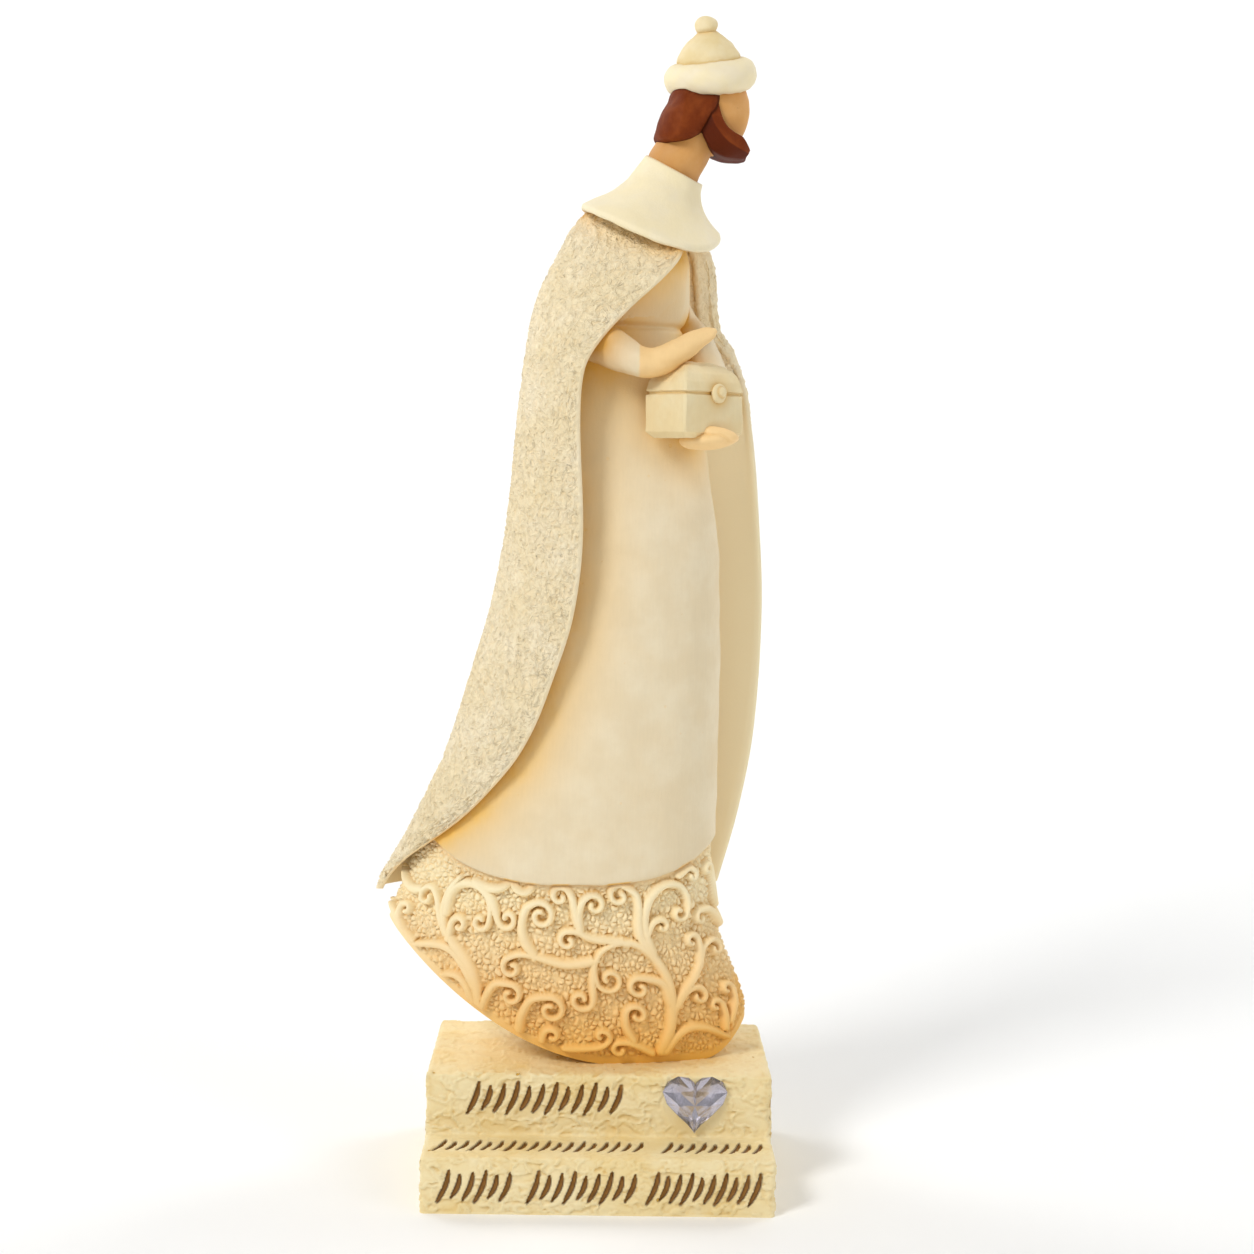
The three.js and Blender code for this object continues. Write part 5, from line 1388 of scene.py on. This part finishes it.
class BuildHeart(bpy.types.Operator):
    """Builds the faceted heart with its silvered back"""
    bl_idname = "figurine.heart"
    bl_label = "Heart"

    def execute(self, context):
        colours = context.scene.figurine_colours
        # Clear cut acrylic: sharp facets bend the silver behind them
        glass, tree = new_material("Acrylic crystal, polished")
        clear = add(tree, "ShaderNodeBsdfPrincipled", {
            "Base Color": (*linear(0xEDEBF3), 1), "Roughness": 0.03, "IOR": 1.49, "Transmission Weight": 1.0})
        add(tree, "ShaderNodeOutputMaterial", [clear])
        # Mirror lacquer on the flat back, a cool grey with a trace of lilac, with lighter clouds as painted
        # reflection
        foil, tree = new_material("Silvering, lacquered")
        place = add(tree, "ShaderNodeTexCoord").node.outputs["Object"]
        cloud = add(tree, "ShaderNodeTexNoise", {"Vector": place, "Scale": MARK_SCALE / 3, "Detail": 2.0})
        tint_and_painted_reflection = add(tree, "ShaderNodeMix", {
            0: cloud, 6: (*colours.gem, 1), 7: (*linear(0xECEAF0), 1)}, data_type="RGBA")
        mirror = add(tree, "ShaderNodeBsdfPrincipled", {
            "Base Color": tint_and_painted_reflection, "Metallic": 1.0, "Roughness": 0.22})
        add(tree, "ShaderNodeOutputMaterial", [mirror])
        # Rings as turns, share of the outline and height, from the glued back to the table in front
        count = 20
        turns = [2 * math.pi * i / count for i in range(count)]
        back = [heart_place(a, 0.97, 0.12) for a in turns]
        girdle = [heart_place(a, 1, 0.7) for a in turns]
        middle = [heart_place(a, 0.78, 1.7) for a in turns[::2]]
        table = [heart_place(a + 1.5 * math.pi / count, 0.45, 2.6) for a in turns[::2]]
        deep = [heart_place(a, 0.5, 0.62 if i % 2 else 0.25) for i, a in enumerate(turns[::2])]
        points = back + girdle + middle + table + deep + [heart_place(0, 0, 0.45)]
        half = count // 2
        g, m, t, d, last = count, 2 * count, 2 * count + half, 2 * count + 2 * half, 2 * count + 3 * half
        faces = []
        for i in range(half):
            a, b, c = 2 * i, 2 * i + 1, (2 * i + 2) % count
            here, after = d + i, d + (i + 1) % half
            faces += [[b, a, here], [b, here, after], [c, b, after], [after, here, last]]
        silvered = len(faces)
        faces += [[i, (i + 1) % count, g + (i + 1) % count, g + i] for i in range(count)]
        for i in range(half):
            a, b, c = g + 2 * i, g + 2 * i + 1, g + (2 * i + 2) % count
            here, after = m + i, m + (i + 1) % half
            faces += [[a, b, here], [b, after, here], [b, c, after]]
            faces += [[here, after, t + i], [after, t + (i + 1) % half, t + i]]
        faces.append([t + i for i in range(half)])
        piece = solid("heart_stone", points, faces, glass)
        piece.data.materials.append(foil)
        piece.data.shade_flat()
        for face in piece.data.polygons[:silvered]:
            face.material_index = 1
        settle(piece, "heart_gem")
        return {"FINISHED"}


# Pieces that take golden wash and painted shade in their joints: how far it spreads on them, and how much
# each leaves on the others
JOINT_WASH_AND_SHADE = (
    ("robe", 5.6, 1), ("hem", 1.8, 1), ("cape", 2.3, 1), ("collar", 1.4, 1), ("near_arm", 4.5, 0.7),
    ("far_sleeve", 4, 0.8),
    ("far_hand", 1.2, 0.2), ("far_fingertips", 0.8, 0.1), ("casket", 1.2, 0.25), ("clasp_plate", 0.5, 0.6),
    ("clasp_button", 0.4, 0.6), ("face", 1.2, 1), ("neck", 2.4, 1), ("hair", 0.8, 1), ("beard", 0.8, 1),
    ("cap_brim", 0.8, 1), ("cap_crown", 1.4, 1), ("cap_bobble", 0.7, 1), ("plinth_stone", 5, 1),
)


class JointWashAndShade(bpy.types.Operator):
    """Lays golden wash and painted shade where pieces meet, stronger the closer they are"""
    bl_idname = "figurine.stain"
    bl_label = "Stain in the joints"

    def execute(self, context):
        shells = {}
        for name, _, leaving in JOINT_WASH_AND_SHADE:
            mesh = bpy.data.objects[name].data
            mesh.calc_loop_triangles()
            places, normals = (np.zeros(len(mesh.vertices) * 3, np.float32) for _ in range(2))
            mesh.vertices.foreach_get("co", places)
            mesh.vertices.foreach_get("normal", normals)
            corners = np.zeros(len(mesh.loop_triangles) * 3, np.int32)
            mesh.loop_triangles.foreach_get("vertices", corners)
            places = places.reshape(-1, 3)
            tree = BVHTree.FromPolygons(places.tolist(), corners.reshape(-1, 3).tolist(), all_triangles=True)
            shells[name] = (places, normals.reshape(-1, 3), tree, places.min(0), places.max(0), leaving)
        for name, length, _ in JOINT_WASH_AND_SHADE:
            places, normals = shells[name][:2]
            limit = 3 * length * MM
            pool = np.zeros(len(places))
            for other, (_, _, shell, low, high, leaving) in shells.items():
                if other == name:
                    continue
                nearby = np.nonzero(((places > low - limit) & (places < high + limit)).all(1))[0]
                for i in nearby:
                    found, _, _, distance = shell.find_nearest(places[i], limit)
                    if found is not None:
                        # Painted shade: only a piece that lies in front of the surface adds to it
                        towards = np.dot(found - Vector(places[i]), normals[i]) / max(distance, 1e-6)
                        facing = 1 if distance < 0.3 * MM else smooth(towards * 1.8 + 1)
                        pool[i] += leaving * facing * (math.exp(-distance / (length * MM)) - math.exp(-3))
            write_attribute(bpy.data.objects[name], "pool", np.clip(pool, 0, 1))
        return {"FINISHED"}


class BuildStage(bpy.types.Operator):
    """Builds the pale floor, the soft light and the camera"""
    bl_idname = "figurine.stage"
    bl_label = "Stage"

    def execute(self, context):
        scene, settings = context.scene, context.scene.figurine_stage
        scene.view_settings.view_transform = "Standard"
        # Matte paper whose fibres, two thirds of a millimetre wide, take the shine off it
        paper, tree = new_material("Paper, matte white")
        place = add(tree, "ShaderNodeTexCoord").node.outputs["Object"]
        fibre = add(tree, "ShaderNodeTexNoise", {"Vector": place, "Scale": MARK_SCALE * 1.5, "Detail": 2.0})
        height = add(tree, "ShaderNodeMath", [fibre, 0.02 * MM], operation="MULTIPLY")
        bump = add(tree, "ShaderNodeBump", {"Distance": 1.0, "Height": height})
        matte = add(tree, "ShaderNodeBsdfPrincipled", {
            "Base Color": (*settings.floor, 1), "Roughness": 0.9, "Normal": bump})
        add(tree, "ShaderNodeOutputMaterial", [matte])
        flat = PAPER_DEPTH - PAPER_BEND
        profile = [(PAPER_FRONT, 0.0), (0.0, 0.0), (flat, 0.0)]
        profile += [(flat + PAPER_BEND * math.sin(a), PAPER_BEND * (1 - math.cos(a)))
                    for a in np.linspace(0, np.pi / 2, 24)[1:]]
        profile.append((PAPER_DEPTH, PAPER_HEIGHT))
        points = [(side * PAPER_HALF_WIDTH, y, z) for side in (-1, 1) for y, z in profile]
        count = len(profile)
        mesh = bpy.data.meshes.new("backdrop")
        mesh.from_pydata(points, [], [[i, i + count, i + count + 1, i + 1] for i in range(count - 1)])
        mesh.materials.append(paper)
        mesh.shade_smooth()
        floor = bpy.data.objects.new("backdrop", mesh)
        scene.collection.objects.link(floor)
        world = bpy.data.worlds.new("Soft room")
        world.use_nodes = True
        light = world.node_tree.nodes["Background"].inputs
        light["Color"].default_value = (1, 1, 1, 1)
        light["Strength"].default_value = settings.sky_strength
        scene.world = world
        for name, place, target, size, power in LAMPS:
            lamp = bpy.data.lights.new(name, "AREA")
            lamp.energy, lamp.size = getattr(settings, power), size
            made = bpy.data.objects.new(name, lamp)
            made.location = place
            made.rotation_euler = (Vector(target) - Vector(place)).to_track_quat("-Z", "Y").to_euler()
            scene.collection.objects.link(made)
        level = math.cos(CAMERA_PITCH)
        forward = Vector((
            math.sin(CAMERA_YAW) * level, math.cos(CAMERA_YAW) * level, -math.sin(CAMERA_PITCH)))
        right = Vector((math.cos(CAMERA_YAW), -math.sin(CAMERA_YAW), 0))
        up = right.cross(forward)
        side = right * math.cos(CAMERA_ROLL) + up * math.sin(CAMERA_ROLL)
        over = up * math.cos(CAMERA_ROLL) - right * math.sin(CAMERA_ROLL)
        lens = bpy.data.cameras.new("Camera")
        lens.sensor_width = SENSOR_WIDTH
        lens.lens = SENSOR_WIDTH * FOCAL_PIXELS / PHOTO_PIXELS
        lens.clip_start, lens.clip_end = 0.01, 20
        camera = bpy.data.objects.new("Camera", lens)
        turn = Matrix((side, over, -forward)).transposed().to_quaternion()
        camera.matrix_world = Matrix.LocRotScale(Vector(CAMERA_PLACE) * MM, turn, None)
        scene.collection.objects.link(camera)
        scene.camera = camera
        return {"FINISHED"}


OPERATORS = (
    BuildStage, BuildPlinth, BuildHeart, BuildHem, BuildRobe, BuildCape, BuildCollar, BuildArms, BuildCasket,
    BuildHead, BuildCap, JointWashAndShade)


class FigurinePanel(bpy.types.Panel):
    """The steps that dress the figurine, with their sizes and colours"""
    bl_idname = "VIEW3D_PT_figurine"
    bl_label = "Figurine"
    bl_space_type = "VIEW_3D"
    bl_region_type = "UI"
    bl_category = "Figurine"

    def draw(self, context):
        for operator in OPERATORS:
            self.layout.operator(operator.bl_idname)
        scene = context.scene
        for group in (scene.figurine_carving, scene.figurine_colours, scene.figurine_stage):
            box = self.layout.box()
            for name in group.__annotations__:
                box.prop(group, name)


GROUPS = {
    "figurine_carving": FigurineCarving,
    "figurine_colours": FigurineColours,
    "figurine_stage": FigurineStage,
}


def register():
    for made in (*GROUPS.values(), *OPERATORS, FigurinePanel):
        bpy.utils.register_class(made)
    for name, group in GROUPS.items():
        setattr(bpy.types.Scene, name, PointerProperty(type=group))


def unregister():
    for name in GROUPS:
        delattr(bpy.types.Scene, name)
    for made in reversed((*GROUPS.values(), *OPERATORS, FigurinePanel)):
        bpy.utils.unregister_class(made)


def main():
    register()
    for operator in OPERATORS:
        group, name = operator.bl_idname.split(".")
        getattr(getattr(bpy.ops, group), name)()


if __name__ == "__main__":
    main()
